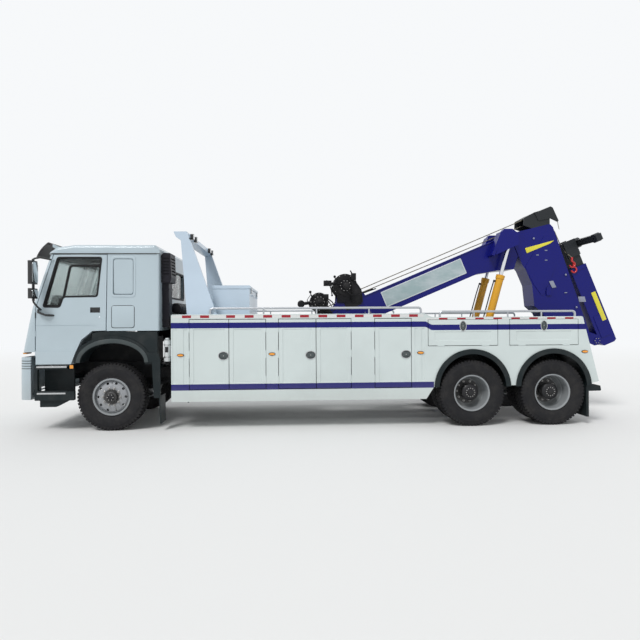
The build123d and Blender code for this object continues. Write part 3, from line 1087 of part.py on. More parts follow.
# Inner boom: box that slides in the outer one, and the hollow leg with its ears
with BuildPart() as inner_boom:
    step = BOOM_WALL + INNER_GAP
    slab((boom_at(INNER_TAIL_S, BOOM_LOW_T + step), boom_at(3060, BOOM_LOW_T + step),
          boom_at(3060, BOOM_TOP_T - step), boom_at(INNER_TAIL_S, BOOM_TOP_T - step)),
         (-BOOM_HALF + step, BOOM_HALF - step))
    pad = BOOM_WALL + RUN_GAP
    slab((boom_at(INNER_TAIL_S, BOOM_LOW_T + pad), boom_at(INNER_TAIL_S + 80, BOOM_LOW_T + pad),
          boom_at(INNER_TAIL_S + 80, BOOM_TOP_T - pad), boom_at(INNER_TAIL_S, BOOM_TOP_T - pad)),
         (-BOOM_HALF + pad, BOOM_HALF - pad))
    slab(LEG_OUTLINE, (-LEG_HALF, LEG_HALF))
    bore = step + INNER_WALL
    slab((boom_at(INNER_TAIL_S - 5, BOOM_LOW_T + bore), boom_at(2900, BOOM_LOW_T + bore),
          boom_at(2900, BOOM_TOP_T - bore), boom_at(INNER_TAIL_S - 5, BOOM_TOP_T - bore)),
         (-BOOM_HALF + bore, BOOM_HALF - bore), mode=Mode.SUBTRACT)
    slab(((7400, 2480), (8000, 2480), (8410, 1300), (7770, 1300), (7550, 1850), (7400, 1990)),
         (-LEG_HALF + 20, LEG_HALF - 20), mode=Mode.SUBTRACT)
    for sign in (1, -1):
        ear = ((8434, 1330), (8380, 1500), (8560, 1430), (8600, 1340), (8560, 1270), (8480, 1250), (8300, 1330))
        slab(ear, (sign * (LEG_HALF - 30), sign * LEG_HALF))
        # Stiffening plate on the knee, with its raised rim
        soft_slab(((7170, 2700), (7560, 3330), (7760, 2760), (7500, 2150), (7330, 2380)),
                  (sign * LEG_HALF, sign * (LEG_HALF + 8)), 40)
        for station, z in ((7330, 3230), (7930, 2560), (8130, 1960)):
            cross_round(station, z, 26, (sign * LEG_HALF, sign * (LEG_HALF + 12)))
        block((7560, 7650), (sign * LEG_HALF, sign * (LEG_HALF + 26)), (2180, 2330))
    cross_round(*FOLD_PIVOT, 35, (-LEG_HALF, LEG_HALF))
    for sign in (1, -1):
        cross_round(*FOLD_PIVOT, 60, (sign * LEG_HALF, sign * (LEG_HALF + 10)))
keep(inner_boom.part, "inner_boom")

# Sheave head: guard plates, cover, two grooved sheaves on their pin, and hooked plates outside
with BuildPart() as sheave_head:
    for sign in (1, -1):
        soft_slab(((7158, 3609), (7346, 3711), (7590, 3785), (7640, 3640), (7640, 3470), (7300, 3420),
                   (7150, 3470)), (sign * 190, sign * 215), 30)
    slab(((7166, 3590), (7352, 3690), (7600, 3768), (7600, 3786), (7346, 3708), (7160, 3607)), (-200, 200))
    for y in (-75, 75):
        spun(((30, -26), (118, -26), (118, -20), (98, -8), (98, 8), (118, 20), (118, 26), (30, 26)),
             7480, y, 3600, 1)
    cross_round(7480, 3600, 32, (-205, 205))
    slab(LEG_OUTLINE, (-LEG_HALF - 1, LEG_HALF + 1), mode=Mode.SUBTRACT)
    # Hooked plates outside the guard plates, wide enough apart for the folded arm to slide between
    for sign in (1, -1):
        slab(((7346, 3700), (7647, 3822), (7690, 3800), (7800, 3560), (7775, 3538), (7640, 3600), (7420, 3560)),
             (sign * (LEG_HALF + RUN_GAP), sign * (LEG_HALF + 15)))
keep(sheave_head.part, "sheave_head")

# Lift cylinders: barrels and rods, one pair of each
cyl_rise = math.degrees(math.atan2(CYL_EYE[1] - CYL_FOOT[1], CYL_EYE[0] - CYL_FOOT[0]))
cyl_reach = math.hypot(CYL_EYE[1] - CYL_FOOT[1], CYL_EYE[0] - CYL_FOOT[0])
for name, radius, start, stop, hole in (
    ("lift_barrels", BARREL_R, 90, BARREL_LEN, ROD_R + 1),
    ("lift_rods", ROD_R, cyl_reach - ROD_LEN, cyl_reach - 30, 0),
):
    with BuildPart() as cylinder:
        for sign in (1, -1):
            low = along(CYL_FOOT, cyl_rise, start, 0)
            rise = math.radians(cyl_rise)
            base = Plane(origin=(at_x(low[0]), sign * CYLINDER_Y, low[1]),
                         z_dir=(-math.cos(rise), 0, math.sin(rise)))
            with BuildSketch(base) as ring:
                Circle(radius)
                if hole:
                    Circle(hole, mode=Mode.SUBTRACT)
            extrude(ring.sketch, amount=stop - start)
            if hole:
                # Gland at the barrel's mouth
                gland_at = along(CYL_FOOT, cyl_rise, stop - 70, 0)
                with BuildSketch(Plane(origin=(at_x(gland_at[0]), sign * CYLINDER_Y, gland_at[1]),
                                       z_dir=base.z_dir)) as gland:
                    Circle(radius + 9)
                    Circle(hole, mode=Mode.SUBTRACT)
                extrude(gland.sketch, amount=70)
                with BuildSketch(base) as plug:
                    Circle(radius)
                extrude(plug.sketch, amount=40)
                cross_round(*CYL_FOOT, 80, (sign * (CYLINDER_Y - 55), sign * (CYLINDER_Y + 55)))
                slab((along(CYL_FOOT, cyl_rise, 20, -60), along(CYL_FOOT, cyl_rise, 95, -60),
                      along(CYL_FOOT, cyl_rise, 95, 60), along(CYL_FOOT, cyl_rise, 20, 60)),
                     (sign * (CYLINDER_Y - 55), sign * (CYLINDER_Y + 55)))
                cross_round(*CYL_FOOT, 35 + RUN_GAP, (sign * (CYLINDER_Y - 70), sign * (CYLINDER_Y + 70)),
                            mode=Mode.SUBTRACT)
            else:
                cross_round(*CYL_EYE, 62, (sign * (CYLINDER_Y - EYE_HALF), sign * (CYLINDER_Y + EYE_HALF)))
    keep(cylinder.part, name)

# Underlift: folding arm, sliding arm with its head, and crossbar
with BuildPart() as arm_outer:
    slab((arm_at(ARM_LOW_K, ARM_IN_M + 60), arm_at(ARM_LOW_K + 60, ARM_IN_M), arm_at(ARM_TOP_K, ARM_IN_M),
          arm_at(ARM_TOP_K, ARM_OUT_M), arm_at(ARM_LOW_K + 30, ARM_OUT_M), arm_at(ARM_LOW_K, ARM_OUT_M - 50)),
         (-ARM_HALF, ARM_HALF))
    slab((arm_at(200, ARM_IN_M + ARM_WALL), arm_at(ARM_TOP_K + 20, ARM_IN_M + ARM_WALL),
          arm_at(ARM_TOP_K + 20, ARM_OUT_M - ARM_WALL), arm_at(200, ARM_OUT_M - ARM_WALL)),
         (-ARM_HALF + ARM_WALL, ARM_HALF - ARM_WALL), mode=Mode.SUBTRACT)
    slab((arm_at(-60, 0), arm_at(60, 0), arm_at(90, ARM_IN_M + 5), arm_at(-90, ARM_IN_M + 5)),
         (-ARM_HALF, ARM_HALF))
    cross_round(*FOLD_PIVOT, 62, (-ARM_HALF, ARM_HALF))
    cross_round(*FOLD_PIVOT, 35 + RUN_GAP, (-ARM_HALF - 5, ARM_HALF + 5), mode=Mode.SUBTRACT)
    for sign in (1, -1):
        # Collar at the mouth, and a stiffening strip low on each side
        slab((arm_at(ARM_TOP_K - 70, ARM_IN_M + 20), arm_at(ARM_TOP_K, ARM_IN_M + 20),
              arm_at(ARM_TOP_K, ARM_OUT_M - 20), arm_at(ARM_TOP_K - 70, ARM_OUT_M - 20)),
             (sign * ARM_HALF, sign * (ARM_HALF + 12)))
        slab((arm_at(0, ARM_IN_M + 60), arm_at(420, ARM_IN_M + 60), arm_at(420, ARM_OUT_M - 60),
              arm_at(0, ARM_OUT_M - 60)), (sign * ARM_HALF, sign * (ARM_HALF + 10)))
keep(arm_outer.part, "underlift_arm")

with BuildPart() as arm_inner:
    gap = ARM_WALL + INNER_GAP
    slab((arm_at(260, ARM_IN_M + gap), arm_at(BAR_K + 90, ARM_IN_M + gap), arm_at(BAR_K + 90, ARM_OUT_M - gap),
          arm_at(260, ARM_OUT_M - gap)), (-ARM_HALF + gap, ARM_HALF - gap))
    pad = ARM_WALL + RUN_GAP
    slab((arm_at(260, ARM_IN_M + pad), arm_at(330, ARM_IN_M + pad), arm_at(330, ARM_OUT_M - pad),
          arm_at(260, ARM_OUT_M - pad)), (-ARM_HALF + pad, ARM_HALF - pad))
    slab((arm_at(BAR_K - 60, ARM_OUT_M - gap - 5), arm_at(BAR_K + 60, ARM_OUT_M - gap - 5),
          arm_at(BAR_K + 60, ARM_OUT_M + 9.7), arm_at(BAR_K - 60, ARM_OUT_M + 9.7)), (-60, 60))
    # Head plates beside the crossbar's pin
    for sign in (1, -1):
        slab((arm_at(BAR_K - 200, ARM_IN_M + gap + 20), arm_at(BAR_K + 110, ARM_IN_M + gap + 20),
              arm_at(BAR_K + 110, ARM_OUT_M - gap), arm_at(BAR_K - 200, ARM_OUT_M - gap)),
             (sign * (ARM_HALF - gap), sign * (ARM_HALF + 10)))
    with BuildSketch(arm_plane(BAR_K, ARM_OUT_M)) as pin:
        Circle(BAR_PIN_R)
    extrude(pin.sketch, amount=130)
keep(arm_inner.part, "underlift_slide")

with BuildPart() as crossbar:
    slab((arm_at(BAR_K - 60, ARM_OUT_M + 10), arm_at(BAR_K + 60, ARM_OUT_M + 10),
          arm_at(BAR_K + 60, ARM_OUT_M + 120), arm_at(BAR_K - 60, ARM_OUT_M + 120)), (-BAR_HALF, BAR_HALF))
    # Round sleeves for the forks near both ends, and the swivel's boss
    with BuildSketch(arm_plane(BAR_K, ARM_OUT_M + 10)) as sleeves:
        with Locations((-BAR_HALF + SOCKET_INSET, 0), (BAR_HALF - SOCKET_INSET, 0)):
            Circle(SLEEVE_R)
        Circle(95)
    extrude(sleeves.sketch, amount=110)
    with BuildSketch(arm_plane(BAR_K, ARM_OUT_M)) as bore:
        Circle(BAR_PIN_R + RUN_GAP)
        with Locations((-BAR_HALF + SOCKET_INSET, 0), (BAR_HALF - SOCKET_INSET, 0)):
            Circle(SOCKET_R)
    extrude(bore.sketch, amount=140, mode=Mode.SUBTRACT)
keep(crossbar.part, "crossbar")
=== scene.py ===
"""Looks of a heavy recovery truck: paint, tyres, glass, lamps, ropes, trim and the studio.

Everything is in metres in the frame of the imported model: +X forward, +Y to the left, +Z up, the
ground at z = 0 and the origin below the middle of the truck's length.
"""

import json
import logging
import math
from dataclasses import dataclass, field
from enum import Enum
from typing import Iterable, Protocol, Sequence, Union

import bmesh
import bpy
from mathutils import Matrix, Vector

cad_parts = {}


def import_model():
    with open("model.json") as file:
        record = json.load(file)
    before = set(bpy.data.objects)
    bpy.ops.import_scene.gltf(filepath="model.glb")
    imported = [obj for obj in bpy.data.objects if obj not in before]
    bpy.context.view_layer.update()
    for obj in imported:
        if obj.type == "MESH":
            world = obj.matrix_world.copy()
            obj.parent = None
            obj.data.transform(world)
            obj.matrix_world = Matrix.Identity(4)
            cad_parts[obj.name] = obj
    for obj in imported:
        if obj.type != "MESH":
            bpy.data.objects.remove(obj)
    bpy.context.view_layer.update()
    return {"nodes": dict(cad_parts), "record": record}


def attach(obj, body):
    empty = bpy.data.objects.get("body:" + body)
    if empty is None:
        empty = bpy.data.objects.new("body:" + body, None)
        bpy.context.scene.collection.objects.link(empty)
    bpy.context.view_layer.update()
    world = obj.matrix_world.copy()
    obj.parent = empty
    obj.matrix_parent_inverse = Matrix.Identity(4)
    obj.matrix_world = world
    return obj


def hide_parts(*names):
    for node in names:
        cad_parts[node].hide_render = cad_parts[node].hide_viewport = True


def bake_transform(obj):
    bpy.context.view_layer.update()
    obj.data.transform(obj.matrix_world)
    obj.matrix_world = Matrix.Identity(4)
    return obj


LOG = logging.getLogger("recovery_truck")
Colour = tuple[float, float, float]
Point = tuple[float, float, float]
Pair = tuple[float, float]
Outline = Sequence[Pair]
FRONT_AXLE_X = 3.755
HUB_Z = 0.540
DRIVEN_AXLES = (("mid", 5.824), ("rear", 7.174))
SIDES = (("left", 1), ("right", -1))
BOOM_PIVOT = (4.250, 1.800)
BOOM_TURN = math.radians(22.8)
ARM_FOOT = (8.520, 1.340)
ARM_TURN = math.radians(22.2)
CAB_HALF, CAB_WAIST, CAB_LEAN = 1.220, 1.690, 0.0328
CAB_FRONTS = ((-1.370, 1.262, 0.1992), (-1.227, 1.980, 0.3286))
CAB_TONE = (0.44, 0.525, 0.570)
HOOP_TONE = (0.53, 0.635, 0.740)
TRIM_TONE = (0.012, 0.012, 0.013)
SKY_TONE = (0.93, 0.945, 0.96)
ROAD_DUST = (0.36, 0.33, 0.29)
DARK_DUST = (0.16, 0.15, 0.14)
TYRE_DUST = (0.050, 0.047, 0.043)
LINING_TONE = (0.050, 0.050, 0.053)


def at_x(station: float) -> float:
    """x of a station measured rearwards from the front axle."""
    return FRONT_AXLE_X - station


class Term:
    """A shader socket that takes part in Python expressions."""

    def __init__(self, graph: "Graph", socket: bpy.types.NodeSocket) -> None:
        """Keep the socket and the graph that it belongs to."""
        self.graph = graph
        self.socket = socket

    def _maths(self, operation: str, *others: "Number", swapped: bool = False) -> "Term":
        """Add one Math node for this value and the others.

        Args:
            operation: name of the Math node's operation.
            others: further operands.
            swapped: put this value after the first other one.

        Returns:
            The result as a new value.
        """
        operands = [self, *others]
        if swapped:
            operands[:2] = operands[1::-1]
        made = self.graph.node("ShaderNodeMath", {"operation": operation}, dict(enumerate(operands)))
        return Term(self.graph, made.outputs[0])

    def __add__(self, other: "Number") -> "Term":
        """Sum."""
        return self._maths("ADD", other)

    __radd__ = __add__

    def __sub__(self, other: "Number") -> "Term":
        """Difference."""
        return self._maths("SUBTRACT", other)

    def __rsub__(self, other: "Number") -> "Term":
        """Difference with this value taken away."""
        return self._maths("SUBTRACT", other, swapped=True)

    def __mul__(self, other: "Number") -> "Term":
        """Product."""
        return self._maths("MULTIPLY", other)

    __rmul__ = __mul__

    def __pow__(self, other: "Number") -> "Term":
        """Power."""
        return self._maths("POWER", other)

    def __gt__(self, other: "Number") -> "Term":
        """One where this value is larger, else zero."""
        return self._maths("GREATER_THAN", other)

    def __lt__(self, other: "Number") -> "Term":
        """One where this value is smaller, else zero."""
        return self._maths("LESS_THAN", other)

    def __abs__(self) -> "Term":
        """Size without its sign."""
        return self._maths("ABSOLUTE")

    def least(self, other: "Number") -> "Term":
        """The smaller of two values."""
        return self._maths("MINIMUM", other)

    def ribbed(self, count: float) -> "Term":
        """Ribs across this value, so many a metre: 0 between them and 0.5 on their crests."""
        return abs((self * count)._maths("FRACT") - 0.5)

    def within(self, low: "Number", high: "Number") -> "Term":
        """One between two values, else zero."""
        return (self > low) * (self < high)

    def clamped(self) -> "Term":
        """Held between 0 and 1."""
        return Term(self.graph, self.graph.node("ShaderNodeClamp", {}, {0: self}).outputs[0])

    def ramped(self, low: float, high: float) -> "Term":
        """0 below one value, 1 above another and smooth between them."""
        made = self.graph.node("ShaderNodeMapRange", {"interpolation_type": "SMOOTHSTEP"},
                               {0: self, 1: low, 2: high})
        return Term(self.graph, made.outputs[0])


Number = Union[Term, float, int]


class Graph:
    """The node tree of one material, with a Principled shader at its end."""

    def __init__(self, name: str) -> None:
        """Make the material and its shader.

        Args:
            name: the material's name.
        """
        self.material = bpy.data.materials.new(name)
        self.material.use_nodes = True
        self.tree = self.material.node_tree
        self.shader = self.tree.nodes["Principled BSDF"]
        self.object_place = self.node("ShaderNodeTexCoord").outputs["Object"]
        parts = self.node("ShaderNodeSeparateXYZ", {}, {0: self.object_place}).outputs
        self.x, self.y, self.z = (Term(self, parts[i]) for i in range(3))

    def node(self, kind: str, settings: dict | None = None, inputs: dict | None = None) -> bpy.types.Node:
        """Add any node.

        Args:
            kind: the node's type name.
            settings: properties, set before the sockets.
            inputs: socket name or number to a value, colour, socket or term.

        Returns:
            The node.
        """
        made = self.tree.nodes.new(kind)
        for key, value in (settings or {}).items():
            setattr(made, key, value)
        for key, value in (inputs or {}).items():
            self.feed(made.inputs[key], value)
        return made

    def feed(self, socket: bpy.types.NodeSocket, value: object) -> None:
        """Set a socket from a number or colour, or link it."""
        if isinstance(value, Term):
            value = value.socket
        if isinstance(value, bpy.types.NodeSocket):
            self.tree.links.new(value, socket)
        elif isinstance(value, tuple) and socket.type == "RGBA":
            socket.default_value = (*value[:3], 1)
        else:
            socket.default_value = value

    def noise(self, scale: float, detail: float = 3, stretch: Point = (1, 1, 1),
              roughness: float = 0.5) -> Term:
        """Noise in object space, from 0 to 1.

        Args:
            scale: how fine it is, in cells a metre.
            detail: octaves.
            stretch: scale of each axis before the noise.
            roughness: weight of the fine octaves.
        """
        place = self.object_place
        if stretch != (1, 1, 1):
            place = self.node("ShaderNodeMapping", {}, {0: place, 3: stretch}).outputs[0]
        made = self.node("ShaderNodeTexNoise", {}, {"Vector": place, "Scale": scale, "Detail": detail,
                                                    "Roughness": roughness})
        return Term(self, made.outputs[0])

    def mix(self, factor: Number, first: object, second: object) -> bpy.types.NodeSocket:
        """A colour between two others."""
        made = self.node("ShaderNodeMix", {"data_type": "RGBA"}, {0: factor, 6: first, 7: second})
        return made.outputs[2]

    def bump(self, height: Term, strength: float, distance: float) -> None:
        """Raise the surface by a height."""
        made = self.node("ShaderNodeBump", {}, {"Strength": strength, "Distance": distance, "Height": height})
        self.set("Normal", made.outputs[0])

    def set(self, name: str, value: object) -> None:
        """Set or link a socket of the shader."""
        self.feed(self.shader.inputs[name], value)


@dataclass(frozen=True)
class Finish:
    """A surface finish; each kind fills in its own nodes.

    Attributes:
        name: the material's name.
        colour: main colour.
        roughness: middle roughness.
        gloss: specular level.
    """

    name: str
    colour: Colour
    roughness: float = 0.4
    gloss: float = 0.5

    def material(self) -> bpy.types.Material:
        """The material, made once."""
        name = f"{self.name}_finish"
        found = bpy.data.materials.get(name)
        if found:
            return found
        graph = Graph(name)
        graph.material.diffuse_color = (*self.colour, 1)
        graph.set("Specular IOR Level", self.gloss)
        self.paint(graph)
        return graph.material

    def shade(self, share: float) -> Colour:
        """The main colour darkened to a share of itself."""
        return tuple(c * share for c in self.colour)

    def paint(self, graph: Graph) -> None:
        """Add the nodes of this kind of finish."""
        raise NotImplementedError


@dataclass(frozen=True)
class Paint(Finish):
    """Sprayed paint with a little orange peel, and road dust low down.

    Attributes:
        coat: clear coat.
        dust: how much dust lies on the lowest parts.
        dust_top: height up to which dust shows.
    """

    coat: float = 0.35
    dust: float = 0.35
    dust_top: float = 1.1

    def under_dust(self, graph: Graph) -> object:
        """Colour below the dust."""
        return graph.mix(graph.noise(1.3, 3).ramped(0.35, 0.7), self.colour, self.shade(0.93))

    def paint(self, graph: Graph) -> None:
        """Colour, dust, gloss and orange peel."""
        low = (1 - graph.z.ramped(0.3, self.dust_top)) * self.dust
        specks = graph.noise(14, 5, roughness=0.7)
        dust = (low * (0.45 + specks)).clamped()
        graph.set("Base Color", graph.mix(dust, self.under_dust(graph), ROAD_DUST))
        graph.set("Roughness", self.roughness + dust * 0.35 + graph.noise(30, 2) * 0.06)
        graph.set("Coat Weight", self.coat * (1 - dust))
        graph.set("Coat Roughness", 0.08)
        graph.bump(graph.noise(220, 1), 0.05, 0.001)


@dataclass(frozen=True)
class StripedPaint(Paint):
    """Body paint with the two stripes that run along both sides.

    Attributes:
        stripe: colour of the stripes.
        upper: lower and upper edge of the upper stripe.
        lower: lower and upper edge of the lower one.
        step: stations between which the upper stripe steps down.
        drop: how far it steps down.
        end: station at which the lower stripe ends.
        skin: distance from the middle beyond which the stripes show.
    """

    stripe: Colour = (0.002, 0.003, 0.140)
    upper: Pair = (1.628, 1.718)
    lower: Pair = (0.641, 0.738)
    step: Pair = (5.040, 5.170)
    drop: float = 0.054
    end: float = 5.185
    skin: float = 1.2055

    def under_dust(self, graph: Graph) -> object:
        """White with an upper stripe that steps down near the tail, and a lower one."""
        ground = super().under_dust(graph)
        first, last = self.step
        drop = (graph.x * -1).ramped(-at_x(first), -at_x(last)) * self.drop
        upper = graph.z.within(self.upper[0] - drop, self.upper[1] - drop)
        lower = graph.z.within(*self.lower) * (graph.x > at_x(self.end))
        outside = abs(graph.y) > self.skin
        return graph.mix(((upper + lower) * outside).clamped(), ground, self.stripe)


@dataclass(frozen=True)
class Plastic(Finish):
    """Moulded plastic or satin black paint with a fine grain and pale dust.

    Attributes:
        grain: cells of the grain a metre.
        dust: how much dust lies on it.
    """

    grain: float = 350
    dust: float = 0.25

    def paint(self, graph: Graph) -> None:
        """Grain and dust."""
        dust = (graph.noise(5, 5).ramped(0.4, 0.8) * self.dust).clamped()
        graph.set("Base Color", graph.mix(dust, self.colour, DARK_DUST))
        graph.set("Roughness", self.roughness + dust * 0.3)
        graph.bump(graph.noise(self.grain, 2), 0.12, 0.001)


@dataclass(frozen=True)
class Rubber(Finish):
    """Tyre rubber, greyer where dust sits."""

    def paint(self, graph: Graph) -> None:
        """Dusty rubber."""
        dust = graph.noise(7, 6, roughness=0.65).ramped(0.35, 0.75) * 0.4
        graph.set("Base Color", graph.mix(dust, self.colour, TYRE_DUST))
        graph.set("Roughness", 0.72 + dust * 0.2)
        graph.bump(graph.noise(160, 3), 0.15, 0.001)


@dataclass(frozen=True)
class Metal(Finish):
    """Bare, plated or cast metal.

    Attributes:
        streak: scale along each axis of the fine marks.
        stain: share of dark or rusty stains.
        stain_colour: their colour.
        metallic: share of metal where it is clean.
    """

    streak: Point = (60, 60, 60)
    stain: float = 0.2
    stain_colour: Colour = (0.12, 0.1, 0.08)
    metallic: float = 0.9

    def paint(self, graph: Graph) -> None:
        """Marks, stains and a metal sheen."""
        marks = graph.noise(1, 3, stretch=self.streak)
        stain = (graph.noise(9, 5, roughness=0.7).ramped(0.5, 0.8) * self.stain).clamped()
        worn = graph.mix(marks, self.colour, self.shade(0.8))
        graph.set("Base Color", graph.mix(stain, worn, self.stain_colour))
        graph.set("Metallic", self.metallic * (1 - stain))
        graph.set("Roughness", self.roughness + marks * 0.12 + stain * 0.3)
        graph.bump(marks, 0.06, 0.001)


@dataclass(frozen=True)
class Glazing(Finish):
    """Slightly tinted safety glass.

    Attributes:
        seen: how much of it shows in place of what lies behind.
    """

    seen: float = 0.52

    def paint(self, graph: Graph) -> None:
        """Clear glass with faint smears."""
        smear = graph.noise(3, 4).ramped(0.45, 0.8)
        graph.set("Base Color", self.colour)
        graph.set("Roughness", 0.02 + smear * 0.002)
        graph.set("IOR", 1.45)
        graph.set("Transmission Weight", 1.0)
        graph.set("Alpha", self.seen)


@dataclass(frozen=True)
class Lens(Finish):
    """Coloured lamp lens with moulded ribs.

    Attributes:
        rib: ribs a metre.
    """

    rib: float = 140

    def paint(self, graph: Graph) -> None:
        """Ribbed lens."""
        ribs = graph.x.ribbed(self.rib)
        graph.set("Base Color", graph.mix(ribs, self.colour, self.shade(0.7)))
        graph.set("Roughness", self.roughness)
        graph.set("Coat Weight", 0.8)
        graph.bump(ribs, 0.3, 0.002)


@dataclass(frozen=True)
class Weave(Finish):
    """Woven seat cloth.

    Attributes:
        count: threads a metre.
    """

    count: float = 260

    def paint(self, graph: Graph) -> None:
        """Cross threads."""
        threads = graph.x.ribbed(self.count) + graph.z.ribbed(self.count)
        graph.set("Base Color", graph.mix(threads, self.colour, self.shade(0.6)))
        graph.set("Roughness", 0.9)
        graph.bump(threads, 0.4, 0.001)


@dataclass(frozen=True)
class CabPaint(Paint):
    """Cab paint, with black mirrors and handle dishes outside and a grey lining inside.

    Attributes:
        room_z: lowest and highest point of the lining.
        room_back: station of the room's back wall.
        skin: thickness of the walls at the sides and ahead.
        mirror_from: distance from the middle and height beyond which all is mirror.
        dish_stations: rear and front end of a handle's dish.
        dish_z: its lower and upper edge.
        dish_depth: its depth.
    """

    room_z: Pair = (1.64, 2.915)
    room_back: float = 0.735
    skin: Pair = (0.045, 0.035)
    mirror_from: Pair = (1.2225, 1.80)
    dish_stations: Pair = (-0.148, -0.302)
    dish_z: Pair = (1.887, 1.971)
    dish_depth: float = 0.0285

    def under_dust(self, graph: Graph) -> object:
        """White outside, black trim beyond the doors' skin, grey where only the cab's room sees it."""
        ground = super().under_dust(graph)
        half = CAB_HALF - (graph.z - CAB_WAIST) * CAB_LEAN
        lower, upper = (at_x(station) - (graph.z - foot) * lean for station, foot, lean in CAB_FRONTS)
        side, ahead = self.skin
        inside = (graph.z.within(*self.room_z) * (abs(graph.y) < half - side)
                  * (graph.x < lower.least(upper) - ahead) * (graph.x > at_x(self.room_back)))
        lined = graph.mix(inside, ground, LINING_TONE)
        mirror = (abs(graph.y) > self.mirror_from[0]) * (graph.z > self.mirror_from[1])
        dish = (graph.x.within(*map(at_x, self.dish_stations)) * graph.z.within(*self.dish_z)
                * (abs(graph.y) > half - self.dish_depth))
        return graph.mix((mirror + dish).clamped(), lined, TRIM_TONE)


@dataclass(frozen=True)
class RoofPaint(CabPaint):
    """Roof paint, with the visor in smoked plastic and a dark line along the gutters, which is their seal and
    painted shade under them.

    Attributes:
        visor_back: station of the visor's rear edge.
        gutter_seal_shade: height below which, and distance from the middle beyond which, the dark line of the
            gutters' seal and painted shade shows.
    """

    visor_back: float = -0.985
    gutter_seal_shade: Pair = (2.832, 1.170)

    def under_dust(self, graph: Graph) -> object:
        """Cab colours with the visor and the dark line of seal and painted shade along the gutters."""
        visor = graph.x > at_x(self.visor_back)
        ground = graph.mix(visor, super().under_dust(graph), (0.035, 0.030, 0.034))
        # Seal and painted shade: the dark line below the gutters stands for their seal and the shade under
        # them.
        gutter_seal_shade = (graph.z < self.gutter_seal_shade[0]) * (abs(graph.y) > self.gutter_seal_shade[1])
        return graph.mix(gutter_seal_shade * (1 - visor), ground, (0.02, 0.02, 0.02))


@dataclass(frozen=True)
class HoopPaint(Paint):
    """Paint of the light hoop, whose work lamps have black housings.

    Attributes:
        lamps_from: station behind which, and height above which, the housings are.
    """

    lamps_from: Pair = (1.2415, 3.06)

    def under_dust(self, graph: Graph) -> object:
        """Pale blue-white, black behind the hoop's head."""
        lamps = (graph.x < at_x(self.lamps_from[0])) * (graph.z > self.lamps_from[1])
        return graph.mix(lamps, super().under_dust(graph), TRIM_TONE)


@dataclass(frozen=True)
class MarkerLens(Finish):
    """Lenses whose colour follows their place: clear ahead, red behind, amber along the sides.

    Attributes:
        front: station ahead of which they are clear.
        tail: station behind which, and height below which, they are red.
        reverse_top: height below which the tail's lamps are white.
    """

    front: float = -1.30
    tail: Pair = (7.75, 1.13)
    reverse_top: float = 0.925

    def paint(self, graph: Graph) -> None:
        """Colour by place, with moulded ribs and squares."""
        ahead = graph.x > at_x(self.front)
        behind = (graph.x < at_x(self.tail[0])) * (graph.z < self.tail[1])
        low = graph.z < self.reverse_top
        amber = graph.mix(graph.noise(40, 1), (0.92, 0.37, 0.02), (0.78, 0.26, 0.015))
        rear = graph.mix(low, (0.42, 0.010, 0.010), (0.62, 0.62, 0.60))
        coloured = graph.mix(behind, amber, rear)
        ribs = graph.y.ribbed(70) + graph.z.ribbed(70)
        glassy = graph.mix(ribs, (0.62, 0.64, 0.66), (0.40, 0.42, 0.44))
        graph.set("Base Color", graph.mix(ahead, coloured, glassy))
        graph.set("Roughness", self.roughness)
        graph.set("Coat Weight", 0.9)
        graph.bump(ribs, 0.35, 0.002)


@dataclass(frozen=True)
class Rope(Finish):
    """Laid steel rope with a film of grease."""

    def paint(self, graph: Graph) -> None:
        """Strands across the rope."""
        lay = (graph.x + graph.y + graph.z * 2).ribbed(55) * 2
        graph.set("Base Color", graph.mix(lay, self.colour, self.shade(0.35)))
        graph.set("Metallic", 0.55)
        graph.set("Roughness", self.roughness + lay * 0.2)
        graph.bump(lay, 0.6, 0.003)


@dataclass(frozen=True)
class Tread(Metal):
    """Punched metal of a step's tread."""

    def paint(self, graph: Graph) -> None:
        """Metal with a grid of raised holes, painted near black in the holes as painted shade."""
        super().paint(graph)
        grid = graph.x.ribbed(28) + graph.y.ribbed(28)
        # Painted shade: the holes' openings are painted near black.
        graph.set("Base Color", graph.mix(grid < 0.32, self.colour, (0.03, 0.03, 0.03)))
        graph.bump(grid, 0.5, 0.004)


@dataclass(frozen=True)
class BumperPaint(Paint):
    """Bumper paint with painted shade in the grooves of its corners.

    Attributes:
        grooves: height of the lowest and of the highest groove.
        corner: distance from the middle, and station ahead of which, the corners begin.
    """

    grooves: Pair = (0.990, 1.150)
    corner: Pair = (0.98, -1.15)

    def under_dust(self, graph: Graph) -> object:
        """Four level grooves at each corner, darkened as painted shade."""
        low, high = self.grooves
        # Painted shade: dark lines where the grooves are.
        groove = ((graph.z - low).ribbed(25) < 0.16) * graph.z.within(low, high)
        corner = (abs(graph.y) > self.corner[0]) * (graph.x > at_x(self.corner[1]))
        return graph.mix(groove * corner, super().under_dust(graph), (0.05, 0.055, 0.06))


@dataclass(frozen=True)
class BlankSign(Paint):
    """Face of a blank sign plate, faded in broad patches."""

    def under_dust(self, graph: Graph) -> object:
        """Grey-green with paler patches."""
        broad = graph.noise(2.2, 4, stretch=(1, 1, 2.5), roughness=0.6).ramped(0.34, 0.66)
        streaks = graph.noise(9, 3, stretch=(2.5, 1, 0.5)) * 0.35
        pale = graph.mix(broad, self.colour, (0.50, 0.56, 0.58))
        return graph.mix(streaks, pale, (0.24, 0.33, 0.36))


